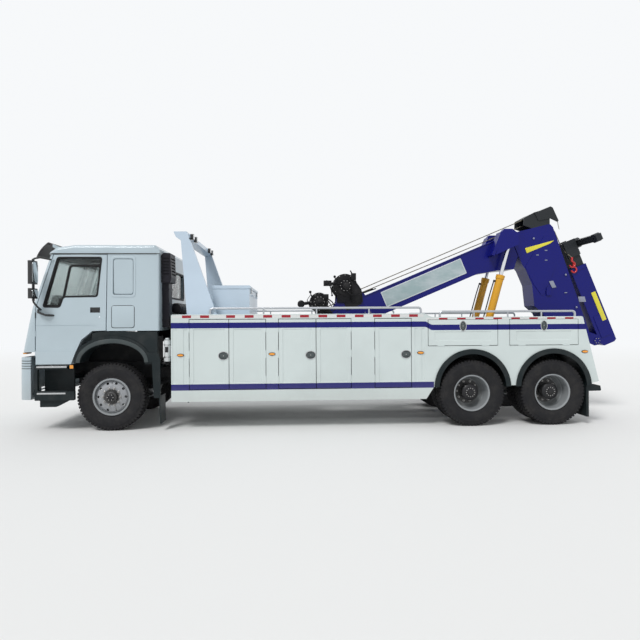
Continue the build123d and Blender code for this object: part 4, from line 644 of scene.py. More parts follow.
@dataclass(frozen=True)
class RimPaint(Paint):
    """Paint of the wheel discs: pale at the lip, and dark round the hub as painted shade of the wheel's dish.

    Attributes:
        lip: colour of the outer ring.
        middle: colour of the disc round the hub, painted shade of the dish.
        polished: colour of the steered wheels' discs.
        lip_from: distances from the hub between which the lip begins.
        steered_shade: distances between which the painted shade of a steered wheel's dish ends.
        driven_shade: distances between which the painted shade of a driven wheel's dish ends.
    """

    lip: Colour = (0.26, 0.28, 0.295)
    # Painted shade: the middle colour stands for the shade in the wheel's dish.
    middle: Colour = (0.016, 0.018, 0.022)
    polished: Colour = (0.30, 0.315, 0.335)
    lip_from: Pair = (0.258, 0.266)
    steered_shade: Pair = (0.112, 0.142)
    driven_shade: Pair = (0.186, 0.222)

    def under_dust(self, graph: Graph) -> object:
        """Colour by distance from the nearest hub."""
        away = abs(graph.x - at_x(0))
        for _, station in DRIVEN_AXLES:
            away = away.least(abs(graph.x - at_x(station)))
        high = graph.z - HUB_Z
        reach = (away * away + high * high) ** 0.5
        worn = graph.noise(16, 4).ramped(0.3, 0.8) * 0.5
        steered = graph.x.ramped(at_x(1.0), at_x(0.8))
        wall = graph.mix(steered, graph.mix(worn, self.colour, self.shade(0.5)), self.polished)
        ringed = graph.mix(reach.ramped(*self.lip_from), wall, self.lip)
        # Painted shade: the disc darkens towards the hub to stand for the shade in the wheel's dish.
        clean = steered * reach.ramped(*self.steered_shade) + (1 - steered) * reach.ramped(*self.driven_shade)
        return graph.mix(1 - clean, ringed, self.middle)


WHITE = Paint("cab_white", CAB_TONE, 0.30, coat=0.35, dust=0.22, dust_top=1.4)
BODY_WHITE = StripedPaint("body_white", (0.61, 0.675, 0.665), 0.34, gloss=0.3, coat=0.10, dust=0.25,
                          dust_top=0.9)
HOOP_WHITE = Paint("hoop_white", HOOP_TONE, 0.34, coat=0.2, dust=0.2)
BOOM_BLUE = Paint("boom_blue", (0.0030, 0.0050, 0.155), 0.30, gloss=0.22, coat=0.12, dust=0.03)
CYLINDER_YELLOW = Paint("cylinder_yellow", (0.72, 0.35, 0.015), 0.34, gloss=0.3, coat=0.3, dust=0.1)
CHASSIS_BLACK = Plastic("chassis_black", (0.012, 0.013, 0.015), 0.55, gloss=0.2, dust=0.2)
WINCH_BLACK = Plastic("winch_black", (0.008, 0.008, 0.010), 0.38, gloss=0.2, grain=120, dust=0.12)
GUARD_BLACK = Plastic("guard_black", (0.010, 0.016, 0.018), 0.40, gloss=0.22, dust=0.10)
TYRE = Rubber("tyre_rubber", (0.012, 0.012, 0.014), 0.8, gloss=0.25)
STEEL = Metal("worn_steel", (0.30, 0.30, 0.31), 0.38, stain=0.5)
CHROME = Metal("chrome", (0.82, 0.83, 0.85), 0.08, stain=0.05, metallic=1.0)
RAIL_METAL = Metal("rail_metal", (0.55, 0.57, 0.60), 0.24, stain=0.1)
GLASS = Glazing("glass", (0.40, 0.50, 0.49), 0.03)
AMBER = Lens("amber_lens", (0.88, 0.33, 0.02), 0.25)
INTERIOR = Plastic("interior_grey", (0.060, 0.060, 0.064), 0.6, gloss=0.3)
RIM_GREY = RimPaint("rim_grey", (0.20, 0.215, 0.225), 0.38, gloss=0.4, coat=0.1, dust=0.12, dust_top=1.3)
CAB_WHITE = CabPaint("cab_trimmed_white", CAB_TONE, 0.30, coat=0.35, dust=0.22, dust_top=1.4)
ROOF_WHITE = RoofPaint("roof_white", CAB_TONE, 0.30, coat=0.35, dust=0.1)
BUMPER_WHITE = BumperPaint("bumper_white", CAB_TONE, 0.32, coat=0.3, dust=0.3, dust_top=1.2)
HOOP_LAMPED = HoopPaint("hoop_lamped_white", HOOP_TONE, 0.34, coat=0.2, dust=0.2)
LENSES = MarkerLens("lenses", (0.7, 0.2, 0.02), 0.16)
SEAL = Plastic("seal_rubber", (0.008, 0.008, 0.009), 0.55, gloss=0.25, grain=200, dust=0.1)
DISH = Plastic("dish_black", (0.011, 0.011, 0.013), 0.34, gloss=0.35, grain=260, dust=0.08)
LIP_GREY = Plastic("lip_grey", (0.040, 0.053, 0.055), 0.32, gloss=0.4, dust=0.15)
LATCH_GREY = Plastic("latch_grey", (0.060, 0.075, 0.078), 0.30, grain=260, dust=0.1)
HEAD_GREY = Paint("head_grey", (0.020, 0.023, 0.026), 0.42, gloss=0.25, coat=0.05, dust=0.0)
INTAKE = Plastic("intake_plastic", (0.010, 0.009, 0.014), 0.42, gloss=0.2, grain=300, dust=0.08)
MIRROR = Metal("mirror_glass", (0.86, 0.90, 0.93), 0.03, stain=0.0, metallic=1.0)
BRIGHT = Metal("bright_steel", (0.60, 0.61, 0.62), 0.22, stain=0.15)
TREADS = Tread("punched_tread", (0.55, 0.56, 0.57), 0.34, stain=0.2)
TAPE_WHITE = Paint("tape_white", (0.68, 0.69, 0.68), 0.35, coat=0.3, dust=0.1)
TAPE_RED = Paint("tape_red", (0.33, 0.008, 0.020), 0.34, gloss=0.35, coat=0.2, dust=0.1)
HOOK_RED = Paint("hook_red", (0.50, 0.012, 0.014), 0.35, coat=0.3, dust=0.0)
PLATE_YELLOW = Paint("plate_yellow", (0.74, 0.66, 0.045), 0.36, coat=0.2, dust=0.0)
PATCH_GREY = Paint("patch_grey", (0.26, 0.28, 0.36), 0.4, coat=0.2, dust=0.0)
SIGN_FACE = BlankSign("sign_face", (0.33, 0.43, 0.44), 0.38, coat=0.3, dust=0.0)
SIGN_FRAME = Paint("sign_frame", (0.62, 0.66, 0.68), 0.34, coat=0.3, dust=0.0)
CANISTER = Paint("canister_white", (0.66, 0.69, 0.70), 0.34, coat=0.3, dust=0.4, dust_top=1.6)
ROPE = Rope("steel_rope", (0.30, 0.27, 0.20), 0.4)
NUT = Metal("nut_steel", (0.46, 0.45, 0.44), 0.34, stain=0.45)
CLOTH = Weave("seat_cloth", (0.040, 0.044, 0.056), 0.9)
VINYL = Plastic("vinyl", (0.030, 0.030, 0.034), 0.45, grain=180, dust=0.1)
LAMP_GLASS = Lens("lamp_glass", (0.66, 0.68, 0.70), 0.08, rib=60)
DECK = Metal("deck_plate", (0.34, 0.35, 0.36), 0.35, stain=0.4)


class Slot(Enum):
    """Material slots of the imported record."""

    CAB = "cab_white"
    BODY = "body_white"
    HOOP = "hoop_blue_white"
    BOOM = "boom_blue"
    YELLOW = "cylinder_yellow"
    CHASSIS = "chassis_black"
    WINCH = "winch_black"
    RIM = "rim_grey"
    TYRE = "tyre_black"
    GUARD = "guard_black"
    CHROME = "chrome"
    GLASS = "glass"
    LAMP = "lamp"
    INTERIOR = "interior_grey"
    STEEL = "steel"


SLOT_FINISH = {
    Slot.CAB: WHITE, Slot.BODY: BODY_WHITE, Slot.HOOP: HOOP_WHITE, Slot.BOOM: BOOM_BLUE,
    Slot.YELLOW: CYLINDER_YELLOW, Slot.CHASSIS: CHASSIS_BLACK, Slot.WINCH: WINCH_BLACK,
    Slot.RIM: RIM_GREY, Slot.TYRE: TYRE, Slot.GUARD: GUARD_BLACK, Slot.CHROME: CHROME,
    Slot.GLASS: GLASS, Slot.LAMP: AMBER, Slot.INTERIOR: INTERIOR, Slot.STEEL: STEEL,
}


def finish_object(piece: bpy.types.Object, finish: Finish) -> None:
    """Give an object one material."""
    piece.data.materials.clear()
    piece.data.materials.append(finish.material())


def link_mesh(name: str, mesh: bpy.types.Mesh) -> bpy.types.Object:
    """Put a mesh in the scene as an object at the origin."""
    made = bpy.data.objects.new(name, mesh)
    bpy.context.scene.collection.objects.link(made)
    return made


def settled(piece: bpy.types.Object) -> None:
    """Turn an object with modifiers into a plain mesh."""
    seen = bpy.context.evaluated_depsgraph_get()
    mesh = bpy.data.meshes.new_from_object(piece.evaluated_get(seen))
    piece.modifiers.clear()
    piece.data = mesh


def eased(piece: bpy.types.Object, width: float, turn: float = 32) -> None:
    """Round an object's sharp edges a little and shade it smooth.

    Args:
        piece: the object.
        width: width of the rounding; none at 0.
        turn: smallest angle between faces that counts as an edge, in degrees.
    """
    if width:
        rounding = piece.modifiers.new("edges", "BEVEL")
        rounding.width = width
        rounding.segments = 2
        rounding.limit_method = "ANGLE"
        rounding.angle_limit = math.radians(turn)
        rounding.use_clamp_overlap = True
        settled(piece)
    piece.data.shade_smooth()
    piece.data.set_sharp_from_angle(angle=math.radians(turn))


def link_nodes(tree: bpy.types.NodeTree, links: Iterable[tuple]) -> None:
    """Link nodes; each link is a node, its output, another node and its input."""
    for source, output, target, entry in links:
        tree.links.new(source.outputs[output], target.inputs[entry])


class Plane(Protocol):
    """A plane that outlines are drawn on, and out from."""

    def point(self, first: float, second: float, along: float) -> Point:
        """Place of an outline's point, at a distance along the plane's normal."""


class Across(Enum):
    """Direction in which an outline is drawn out."""

    LENGTH = 0
    WIDTH = 1

    def point(self, first: float, second: float, along: float) -> Point:
        """Point of an outline, given as (y, z) or (station, z), and its place along the direction."""
        if self is Across.LENGTH:
            return (at_x(along), first, second)
        return (at_x(first), along, second)


def box_outline(first: Pair, second: Pair) -> list[Pair]:
    """Corners of a rectangle between two pairs of limits."""
    (a, b), (c, d) = first, second
    return [(a, c), (b, c), (b, d), (a, d)]


def half_ring(centre: Pair, half_u: float, half_v: float, steps: int) -> list[Pair]:
    """Points of the upper half of an ellipse in an outline's own plane."""
    turns = [math.pi * i / steps for i in range(steps + 1)]
    return [(centre[0] + half_u * math.cos(t), centre[1] + half_v * math.sin(t)) for t in turns]


def ring(centre: Pair, half_u: float, half_v: float, steps: int = 32) -> list[Pair]:
    """Points of an ellipse in an outline's own plane."""
    turns = [math.tau * i / steps for i in range(steps)]
    return [(centre[0] + half_u * math.cos(t), centre[1] + half_v * math.sin(t)) for t in turns]


def rounded(outline: Outline, radius: float, steps: int = 5) -> list[Pair]:
    """An outline with each corner replaced by a curve.

    Args:
        outline: the corners.
        radius: length taken from each side at a corner.
        steps: pieces of each curve.
    """
    made = []
    for index, corner in enumerate(outline):
        here = Vector(corner)
        ends = []
        for other in (Vector(outline[index - 1]), Vector(outline[(index + 1) % len(outline)])):
            away = other - here
            ends.append(here + away.normalized() * min(radius, away.length * 0.48))
        for i in range(steps + 1):
            t = i / steps
            made.append(tuple(ends[0] * (1 - t) ** 2 + here * (2 * t * (1 - t)) + ends[1] * t ** 2))
    return made


def moved_out(outline: Outline, amount: float) -> list[Pair]:
    """An outline pushed outwards by an amount, or inwards if it is negative."""
    area = sum(a[0] * b[1] - b[0] * a[1] for a, b in zip(outline, [*outline[1:], outline[0]]))
    hand = 1 if area > 0 else -1
    made = []
    for index, corner in enumerate(outline):
        here = Vector(corner)
        one = (here - Vector(outline[index - 1])).normalized()
        two = (Vector(outline[(index + 1) % len(outline)]) - here).normalized()
        normal = Vector((one.y + two.y, -one.x - two.x)) * hand
        if normal.length < 1e-6:
            normal = Vector((one.y, -one.x)) * hand
        normal.normalize()
        lean = max(0.35, normal.dot(Vector((one.y, -one.x)) * hand))
        made.append(tuple(here + normal * (amount / lean)))
    return made


class Form:
    """A mesh in the making, out of closed solids whose faces point outwards.

    Attributes:
        SLICES: sections along a cushion.
        CROWN: how far a cushion's face swells.
        SEAM: depth of its sewn channels.
        JOIN: distance within which points are one.
    """

    SLICES = 48
    CROWN = 0.022
    SEAM = 0.007
    JOIN = 1e-6

    def __init__(self) -> None:
        """Start empty."""
        self.mesh = bmesh.new()

    def skin(self, rings: Sequence[Sequence[Point]], looped: bool = False) -> None:
        """Skin through rings of points, closed at both ends or on itself.

        Args:
            rings: rings with as many points each.
            looped: join the last ring to the first instead of capping both.
        """
        rows = [[self.mesh.verts.new(p) for p in one] for one in rings]
        pairs = list(zip(rows, rows[1:]))
        if looped:
            pairs.append((rows[-1], rows[0]))
        faces = []
        for near, far in pairs:
            for i in range(len(near)):
                j = (i + 1) % len(near)
                faces.append(self.mesh.faces.new((near[i], near[j], far[j], far[i])))
        if not looped:
            faces += [self.mesh.faces.new(rows[0]), self.mesh.faces.new(rows[-1])]
        bmesh.ops.recalc_face_normals(self.mesh, faces=faces)

    def drawn(self, outline: Outline, span: Pair, across: Plane = Across.WIDTH) -> None:
        """An outline drawn out from one place to another."""
        self.skin([[across.point(u, v, w) for u, v in outline] for w in span])

    def band(self, outer: Outline, inner: Outline, span: Pair, across: Plane = Across.WIDTH) -> None:
        """A frame between two outlines with as many points, drawn out."""
        walls = [[across.point(*line[i], w) for line, w in
                  ((outer, span[0]), (outer, span[1]), (inner, span[1]), (inner, span[0]))]
                 for i in range(len(outer))]
        self.skin(walls, looped=True)

    def block(self, stations: Pair, ys: Pair, zs: Pair) -> None:
        """A box."""
        self.drawn(box_outline(stations, zs), ys)

    def pair_drawn(self, outline: Outline, ys: Pair, across: Plane = Across.WIDTH) -> None:
        """An outline drawn out on both sides of the truck, between two distances from its middle."""
        for _, hand in SIDES:
            self.drawn(outline, (hand * ys[0], hand * ys[1]), across)

    def pair_band(self, outer: Outline, inner: Outline, ys: Pair, across: Plane = Across.WIDTH) -> None:
        """A frame on both sides of the truck, between two distances from its middle."""
        for _, hand in SIDES:
            self.band(outer, inner, (hand * ys[0], hand * ys[1]), across)

    def pair_block(self, stations: Pair, ys: Pair, zs: Pair) -> None:
        """A box on both sides of the truck."""
        self.pair_drawn(box_outline(stations, zs), ys)

    def tube(self, path: Sequence[Point], radius: float, sides: int = 12, looped: bool = False) -> None:
        """A round tube along points given as station, y and z.

        Args:
            path: the points.
            radius: radius of the tube.
            sides: sides of its section.
            looped: close the tube on itself.
        """
        spots = [Vector((at_x(s), y, z)) for s, y, z in path]
        last = len(spots) - 1
        across = Vector((0.31, 0.83, 0.46))
        rings = []
        for i, spot in enumerate(spots):
            back = spots[i - 1] if i or looped else spot
            front = spots[(i + 1) % len(spots)] if i < last or looped else spot
            ahead = (front - back).normalized()
            across = (across - ahead * across.dot(ahead)).normalized()
            up = ahead.cross(across)
            rings.append([tuple(spot + (across * math.cos(t) + up * math.sin(t)) * radius)
                          for t in (math.tau * k / sides for k in range(sides))])
        self.skin(rings, looped)

    def spun(self, profile: Outline, centre: Point, hand: float = 1,
             along: Point = (0, 1, 0), steps: int = 48) -> None:
        """A closed profile turned about an axis.

        Args:
            profile: radius and place along the axis.
            centre: station, y and z of the profile's zero.
            hand: 1, or -1 to mirror the profile along the axis.
            along: the axis.
            steps: sides of the turned form.
        """
        axis = Vector(along).normalized()
        base = axis.orthogonal().normalized()
        side = axis.cross(base)
        start = Vector((at_x(centre[0]), centre[1], centre[2]))
        rings = []
        for k in range(steps):
            t = math.tau * k / steps
            out = base * math.cos(t) + side * math.sin(t)
            rings.append([tuple(start + out * r + axis * (a * hand)) for r, a in profile])
        self.skin(rings, looped=True)

    def cushion(self, outline: Outline, middle: float, half: float, edge: float,
                channels: int) -> None:
        """A stuffed form with soft ends, a crowned face and sewn channels.

        Args:
            outline: station and z of its middle section's corners.
            middle: y of its middle.
            half: half its width.
            edge: roundness of its ends and corners.
            channels: sewn channels across it.
        """
        base = rounded(outline, edge, 6)
        rings = []
        for i in range(self.SLICES + 1):
            share = math.sin((2 * i / self.SLICES - 1) * math.pi / 2)
            end = 1 - math.sqrt(max(0.0, 1 - abs(share) ** 8))
            sewn = abs(math.sin(math.pi * channels * (share + 1) / 2)) ** 0.35
            swell = self.CROWN - edge * end - self.SEAM * (1 - sewn)
            rings.append([Across.WIDTH.point(u, v, middle + half * share) for u, v in moved_out(base, swell)])
        self.skin(rings)

    def made(self) -> bpy.types.Mesh:
        """The mesh, with points on an axis joined."""
        bmesh.ops.remove_doubles(self.mesh, verts=self.mesh.verts, dist=self.JOIN)
        bmesh.ops.dissolve_degenerate(self.mesh, edges=self.mesh.edges, dist=self.JOIN)
        mesh = bpy.data.meshes.new("form")
        self.mesh.to_mesh(mesh)
        self.mesh.free()
        return mesh

    def place(self, name: str, body: str, slot: "Slot", finish: Finish, edge: float = 0.0,
              stands_for: Sequence[str] = ()) -> bpy.types.Object:
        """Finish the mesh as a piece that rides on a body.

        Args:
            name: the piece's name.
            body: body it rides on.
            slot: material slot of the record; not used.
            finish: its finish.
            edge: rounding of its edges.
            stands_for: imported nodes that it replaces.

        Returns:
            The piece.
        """
        return settle(link_mesh(name, self.made()), body, finish, edge, stands_for)


def settle(piece: bpy.types.Object, body: str, finish: Finish, edge: float = 0.0,
           stands_for: Sequence[str] = ()) -> bpy.types.Object:
    """Ease a piece's edges, finish it and fasten it to its body."""
    eased(piece, edge)
    finish_object(piece, finish)
    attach(piece, body)
    if stands_for:
        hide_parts(*stands_for)
    LOG.info("made %s on %s", piece.name, body)
    return piece


@dataclass(frozen=True)
class Repeat:
    """A row or ring of one small form, made by a Geometry Nodes tree.

    Attributes:
        count: how many there are.
        centre: station, y and z that the form is drawn about.
        step: shift from one to the next in x, y and z.
        turn: turn from one to the next about x, y and z, in radians.
    """

    count: int
    centre: Point = (0, 0, 0)
    step: Point = (0, 0, 0)
    turn: Point = (0, 0, 0)

    TREE = "repeat_form"

    def tree(self) -> bpy.types.NodeTree:
        """The tree, built once: points in a row, a form on each, turned by its number."""
        found = bpy.data.node_groups.get(self.TREE)
        if found:
            return found
        tree = bpy.data.node_groups.new(self.TREE, "GeometryNodeTree")
        face = tree.interface
        face.new_socket("Form", in_out="INPUT", socket_type="NodeSocketGeometry")
        face.new_socket("Count", in_out="INPUT", socket_type="NodeSocketInt")
        for name in ("Centre", "Step", "Turn"):
            face.new_socket(name, in_out="INPUT", socket_type="NodeSocketVector")
        face.new_socket("Finish", in_out="INPUT", socket_type="NodeSocketMaterial")
        face.new_socket("Row", in_out="OUTPUT", socket_type="NodeSocketGeometry")
        given, line, number, turned, euler, put, real, coloured, result = (tree.nodes.new(kind) for kind in (
            "NodeGroupInput", "GeometryNodeMeshLine", "GeometryNodeInputIndex", "ShaderNodeVectorMath",
            "FunctionNodeEulerToRotation", "GeometryNodeInstanceOnPoints", "GeometryNodeRealizeInstances",
            "GeometryNodeSetMaterial", "NodeGroupOutput"))
        turned.operation = "SCALE"
        link_nodes(tree, (
            (given, "Count", line, "Count"), (given, "Centre", line, "Start Location"),
            (given, "Step", line, "Offset"), (given, "Turn", turned, 0), (number, 0, turned, "Scale"),
            (turned, 0, euler, 0), (line, 0, put, "Points"), (given, "Form", put, "Instance"),
            (euler, 0, put, "Rotation"), (put, 0, real, 0), (real, 0, coloured, "Geometry"),
            (given, "Finish", coloured, "Material"), (coloured, 0, result, 0)))
        return tree

    @classmethod
    def ring(cls, count: int, centre: Point) -> "Repeat":
        """A ring about an axis across the truck."""
        return cls(count, centre, turn=(0, math.tau / count, 0))

    def place(self, form: Form, name: str, body: str, slot: "Slot", finish: Finish) -> None:
        """Add the whole row as a plain mesh that rides on a body.

        Args:
            form: the small form, drawn about the frame's own zero.
            name: the piece's name.
            body: body it rides on.
            slot: material slot of the record; not used.
            finish: its finish.
        """
        piece = link_mesh(name, form.made())
        tree = self.tree()
        maker = piece.modifiers.new("row", "NODES")
        maker.node_group = tree
        station, y, z = self.centre
        values = {"Count": self.count, "Centre": (at_x(station), y, z), "Step": self.step,
                  "Turn": self.turn, "Finish": finish.material()}
        for item in tree.interface.items_tree:
            if item.in_out == "INPUT" and item.name in values:
                maker[item.identifier] = values[item.name]
        settled(piece)
        settle(piece, body, finish)


def cab_half(z: float) -> float:
    """Half width of the cab at a height."""
    return CAB_HALF - CAB_LEAN * max(0.0, z - CAB_WAIST)


def cab_face(z: float) -> float:
    """Station of the cab's front at a height."""
    lower, upper = CAB_FRONTS
    station, foot, lean = lower if z < upper[1] else upper
    return station + lean * (z - foot)


def turned(origin: Pair, turn: float, along: float, out: float) -> Pair:
    """Station and height of a point along and out from a line that starts at an origin."""
    return (origin[0] + along * math.cos(turn) - out * math.sin(turn),
            origin[1] + along * math.sin(turn) + out * math.cos(turn))


def boom_at(s: float, t: float) -> Pair:
    """Station and height of a point along and above the boom's pivot line."""
    return turned(BOOM_PIVOT, BOOM_TURN, s, t)


def arm_at(k: float, m: float) -> Pair:
    """Station and height of a point along the folded arm and out from its line."""
    return turned(ARM_FOOT, ARM_TURN, m, k)


def bolt_ring(name: str, body: str, count: int, centre: Point, radius: float, out: float, hand: int) -> None:
    """A ring of small bolt heads about an axis across the truck.

    Args:
        name: the ring's name.
        body: body it rides on.
        count: number of bolts.
        centre: station, y and z of the ring's middle.
        radius: radius of the ring.
        out: distance of the heads' feet from the middle, along the axis.
        hand: 1 for heads that point left, -1 for right.
    """
    head = Form()
    head.spun(((0, 0), (0.008, 0), (0.008, 0.007), (0, 0.008)), (FRONT_AXLE_X - radius, out * hand, 0), hand,
              steps=6)
    Repeat.ring(count, centre).place(head, name, body, Slot.STEEL, NUT)


@dataclass(frozen=True)
class CabSide:
    """One leaning side of the cab, in station, height and distance outwards."""

    hand: int

    def point(self, first: float, second: float, along: float) -> Point:
        """Point on the side."""
        return (at_x(first), self.hand * (cab_half(second) + along), second)


class CabFront:
    """The cab's front, in y, height and distance outwards."""

    @staticmethod
    def point(first: float, second: float, along: float) -> Point:
        """Point on the front."""
        return (at_x(cab_face(second) - along), first, second)


class BoomSide:
    """The boom's own upright plane, in distance along it, height above its line and y."""

    @staticmethod
    def point(first: float, second: float, along: float) -> Point:
        """Point on a plane beside the boom."""
        station, z = boom_at(first, second)
        return (at_x(station), along, z)


class ArmSide:
    """The folded arm's own upright plane, in distance up it, distance out from it and y."""

    @staticmethod
    def point(first: float, second: float, along: float) -> Point:
        """Point on a plane beside the arm."""
        station, z = arm_at(first, second)
        return (at_x(station), along, z)


@dataclass
class CarriedParts:
    """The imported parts, each with the finish of its material slot.

    Attributes:
        record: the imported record.
        nodes: node name to object.
        finishes: start of a node's name to a finish that differs from its slot's.
    """

    record: dict
    nodes: dict
    finishes: dict[str, Finish] = field(default_factory=lambda: {
        "handrails": RAIL_METAL, "cab_shell": CAB_WHITE, "cab_door": CAB_WHITE, "cab_roof": ROOF_WHITE,
        "light_hoop": HOOP_LAMPED, "front_bumper": BUMPER_WHITE, "lamps": LENSES, "air_intake": INTAKE,
        "sheave_head": HEAD_GREY, "underlift_slide": HEAD_GREY, "crossbar": HEAD_GREY})

    def dress(self) -> None:
        """Assign every node its finish."""
        slots = {row["node"]: Slot(row["material_slot"]) for row in self.record["subparts"]}
        for name, piece in self.nodes.items():
            chosen = [finish for start, finish in self.finishes.items() if name.startswith(start)]
            finish_object(piece, (chosen + [SLOT_FINISH[slots[name]]])[0])
            LOG.info("dressed %s", name)


@dataclass
class Wheels:
    """Tyres with their tread, wheel nuts, hub caps and valves.

    Attributes:
        wall: half profile of a tyre's wall, radius and distance from its middle.
        crown: the rest of that half, below the tread blocks.
        pitches: pitches of the tread round a tyre.
        blocks: edges across the tread, middle and half length in pitches, foot and top radius of each block.
        nut: profiles of a nut and of its stud.
        cap: profile of a steered wheel's cap.
        flange: profile of a driven wheel's hub flange.
        stem: places of a valve's stem, outwards and upwards from its foot.
        front_y: middle of a steered wheel.
        twin_y: middle of the twin wheels.
        twin_shift: distance of each twin tyre from it.
    """

    wall: Outline = (
        (0.285, 0.100), (0.292, 0.112), (0.300, 0.118), (0.310, 0.1195), (0.318, 0.117), (0.335, 0.127),
        (0.360, 0.137), (0.390, 0.1435), (0.420, 0.1448), (0.449, 0.1435), (0.451, 0.1450), (0.461, 0.1442),
        (0.463, 0.1425), (0.478, 0.139), (0.497, 0.136), (0.513, 0.132))
    crown: Outline = ((0.521, 0.122), (0.524, 0.110), (0.525, 0.0))
    pitches: int = 60
    blocks: tuple[tuple[float, ...], ...] = (
        (-0.016, 0.016, 0.0, 0.40, 0.512, 0.540), (0.023, 0.062, 0.5, 0.40, 0.512, 0.540),
        (-0.062, -0.023, 0.5, 0.40, 0.512, 0.540), (0.068, 0.128, 0.0, 0.33, 0.512, 0.536),
        (-0.128, -0.068, 0.0, 0.33, 0.512, 0.536), (0.122, 0.1385, 0.0, 0.28, 0.492, 0.531),
        (-0.1385, -0.122, 0.0, 0.28, 0.492, 0.531))
    nut: tuple[Outline, Outline] = (
        ((0, 0), (0.021, 0), (0.021, 0.007), (0.0165, 0.009), (0.0165, 0.024), (0.014, 0.027), (0, 0.027)),
        ((0, 0.02), (0.0095, 0.02), (0.0095, 0.040), (0, 0.042)))
    cap: Outline = ((0, 0.150), (0.058, 0.150), (0.058, 0.176), (0.050, 0.186), (0.020, 0.190), (0, 0.190))
    flange: Outline = ((0, 0.180), (0.132, 0.180), (0.134, 0.194), (0.112, 0.204), (0.084, 0.217),
                       (0.052, 0.219), (0.048, 0.232), (0, 0.234))
    stem: Outline = ((-0.03, 0.012), (0.0, 0.008), (0.015, 0.0), (0.045, -0.022))
    front_y: float = 1.020
    twin_y: float = 0.920
    twin_shift: float = 0.165

    def tyre(self, form: Form, hub: Point, hand: int, steps: int) -> None:
        """Add a tyre below its tread blocks to a form."""
        half = [*self.wall, *self.crown]
        form.spun(half + [(r, -a) for r, a in reversed(half) if a > 1e-4], hub, hand, steps=steps)

    def tread(self, name: str, body: str, hub: Point) -> None:
        """The tread blocks of one tyre."""
        form = Form()
        pitch = math.tau / self.pitches
        for low, high, shift, share, foot, top in self.blocks:
            start, stop = pitch * (shift - share), pitch * (shift + share)
            corners = ((start, low), (stop, low), (stop, high), (start, high))
            form.skin([[(r * math.cos(t), y, r * math.sin(t)) for t, y in corners] for r in (foot, top)])
        Repeat.ring(self.pitches, hub).place(form, name, body, Slot.TYRE, TYRE)

    def nuts(self, body: str, hub: Point, hand: int, radius: float, out: float) -> None:
        """A ring of wheel nuts."""
        form = Form()
        for profile, steps in zip(self.nut, (6, 8)):
            form.spun(profile, (FRONT_AXLE_X - radius, out * hand, 0), hand, steps=steps)
        Repeat.ring(10, hub).place(form, f"nuts_{body}", body, Slot.STEEL, NUT)

    def valve(self, body: str, hub: Point, hand: int, radius: float, out: float) -> None:
        """A bent valve stem beside the rim's well."""
        station, y, z = hub
        form = Form()
        path = [(station, y + hand * (out + step), z + radius + rise) for step, rise in self.stem]
        form.tube(path, 0.005, 8)
        form.place(f"valve_{body}", body, Slot.STEEL, BRIGHT)

    def front(self, side: str, hand: int) -> None:
        """One steered wheel."""
        body = f"front_wheel_{side}"
        hub = (0.0, hand * self.front_y, HUB_Z)
        form = Form()
        self.tyre(form, hub, hand, 96)
        form.place(f"tyre_{body}", body, Slot.TYRE, TYRE, stands_for=(f"front_tyre_{side}",))
        self.tread(f"tread_{body}", body, hub)
        self.nuts(body, hub, hand, 0.1375, 0.1115)
        cap = Form()
        cap.spun(self.cap, hub, hand)
        cap.spun(box_outline((0.074, 0.088), (0.140, 0.150)), hub, hand)
        cap.place(f"cap_{body}", body, Slot.CHASSIS, DISH, 0.002)
        bolt_ring(f"cap_bolts_{body}", body, 6, hub, 0.046, 0.182, hand)
        self.valve(body, hub, hand, 0.238, 0.085)

    def twins(self, row: str, station: float, side: str, hand: int) -> None:
        """One pair of driven wheels."""
        body = f"{row}_wheel_{side}"
        middle = (station, hand * self.twin_y, HUB_Z)
        tyres = Form()
        for name, shift in (("in", -self.twin_shift), ("out", self.twin_shift)):
            hub = (station, middle[1] + hand * shift, HUB_Z)
            self.tyre(tyres, hub, 1, 80)
            self.tread(f"tread_{name}_{body}", body, hub)
        tyres.place(f"tyres_{body}", body, Slot.TYRE, TYRE, stands_for=(f"{row}_tyres_{side}",))
        self.nuts(body, middle, hand, 0.1675, 0.0145)
        bolt_ring(f"hub_bolts_{body}", body, 12, middle, 0.070, 0.2165, hand)
        flange = Form()
        flange.spun(self.flange, middle, hand)
        flange.place(f"flange_{body}", body, Slot.RIM, DISH, 0.002)
        self.valve(body, middle, hand, 0.225, 0.205)

    def build(self) -> None:
        """All six wheels."""
        for side, hand in SIDES:
            self.front(side, hand)
            for row, station in DRIVEN_AXLES:
                self.twins(row, station, side, hand)


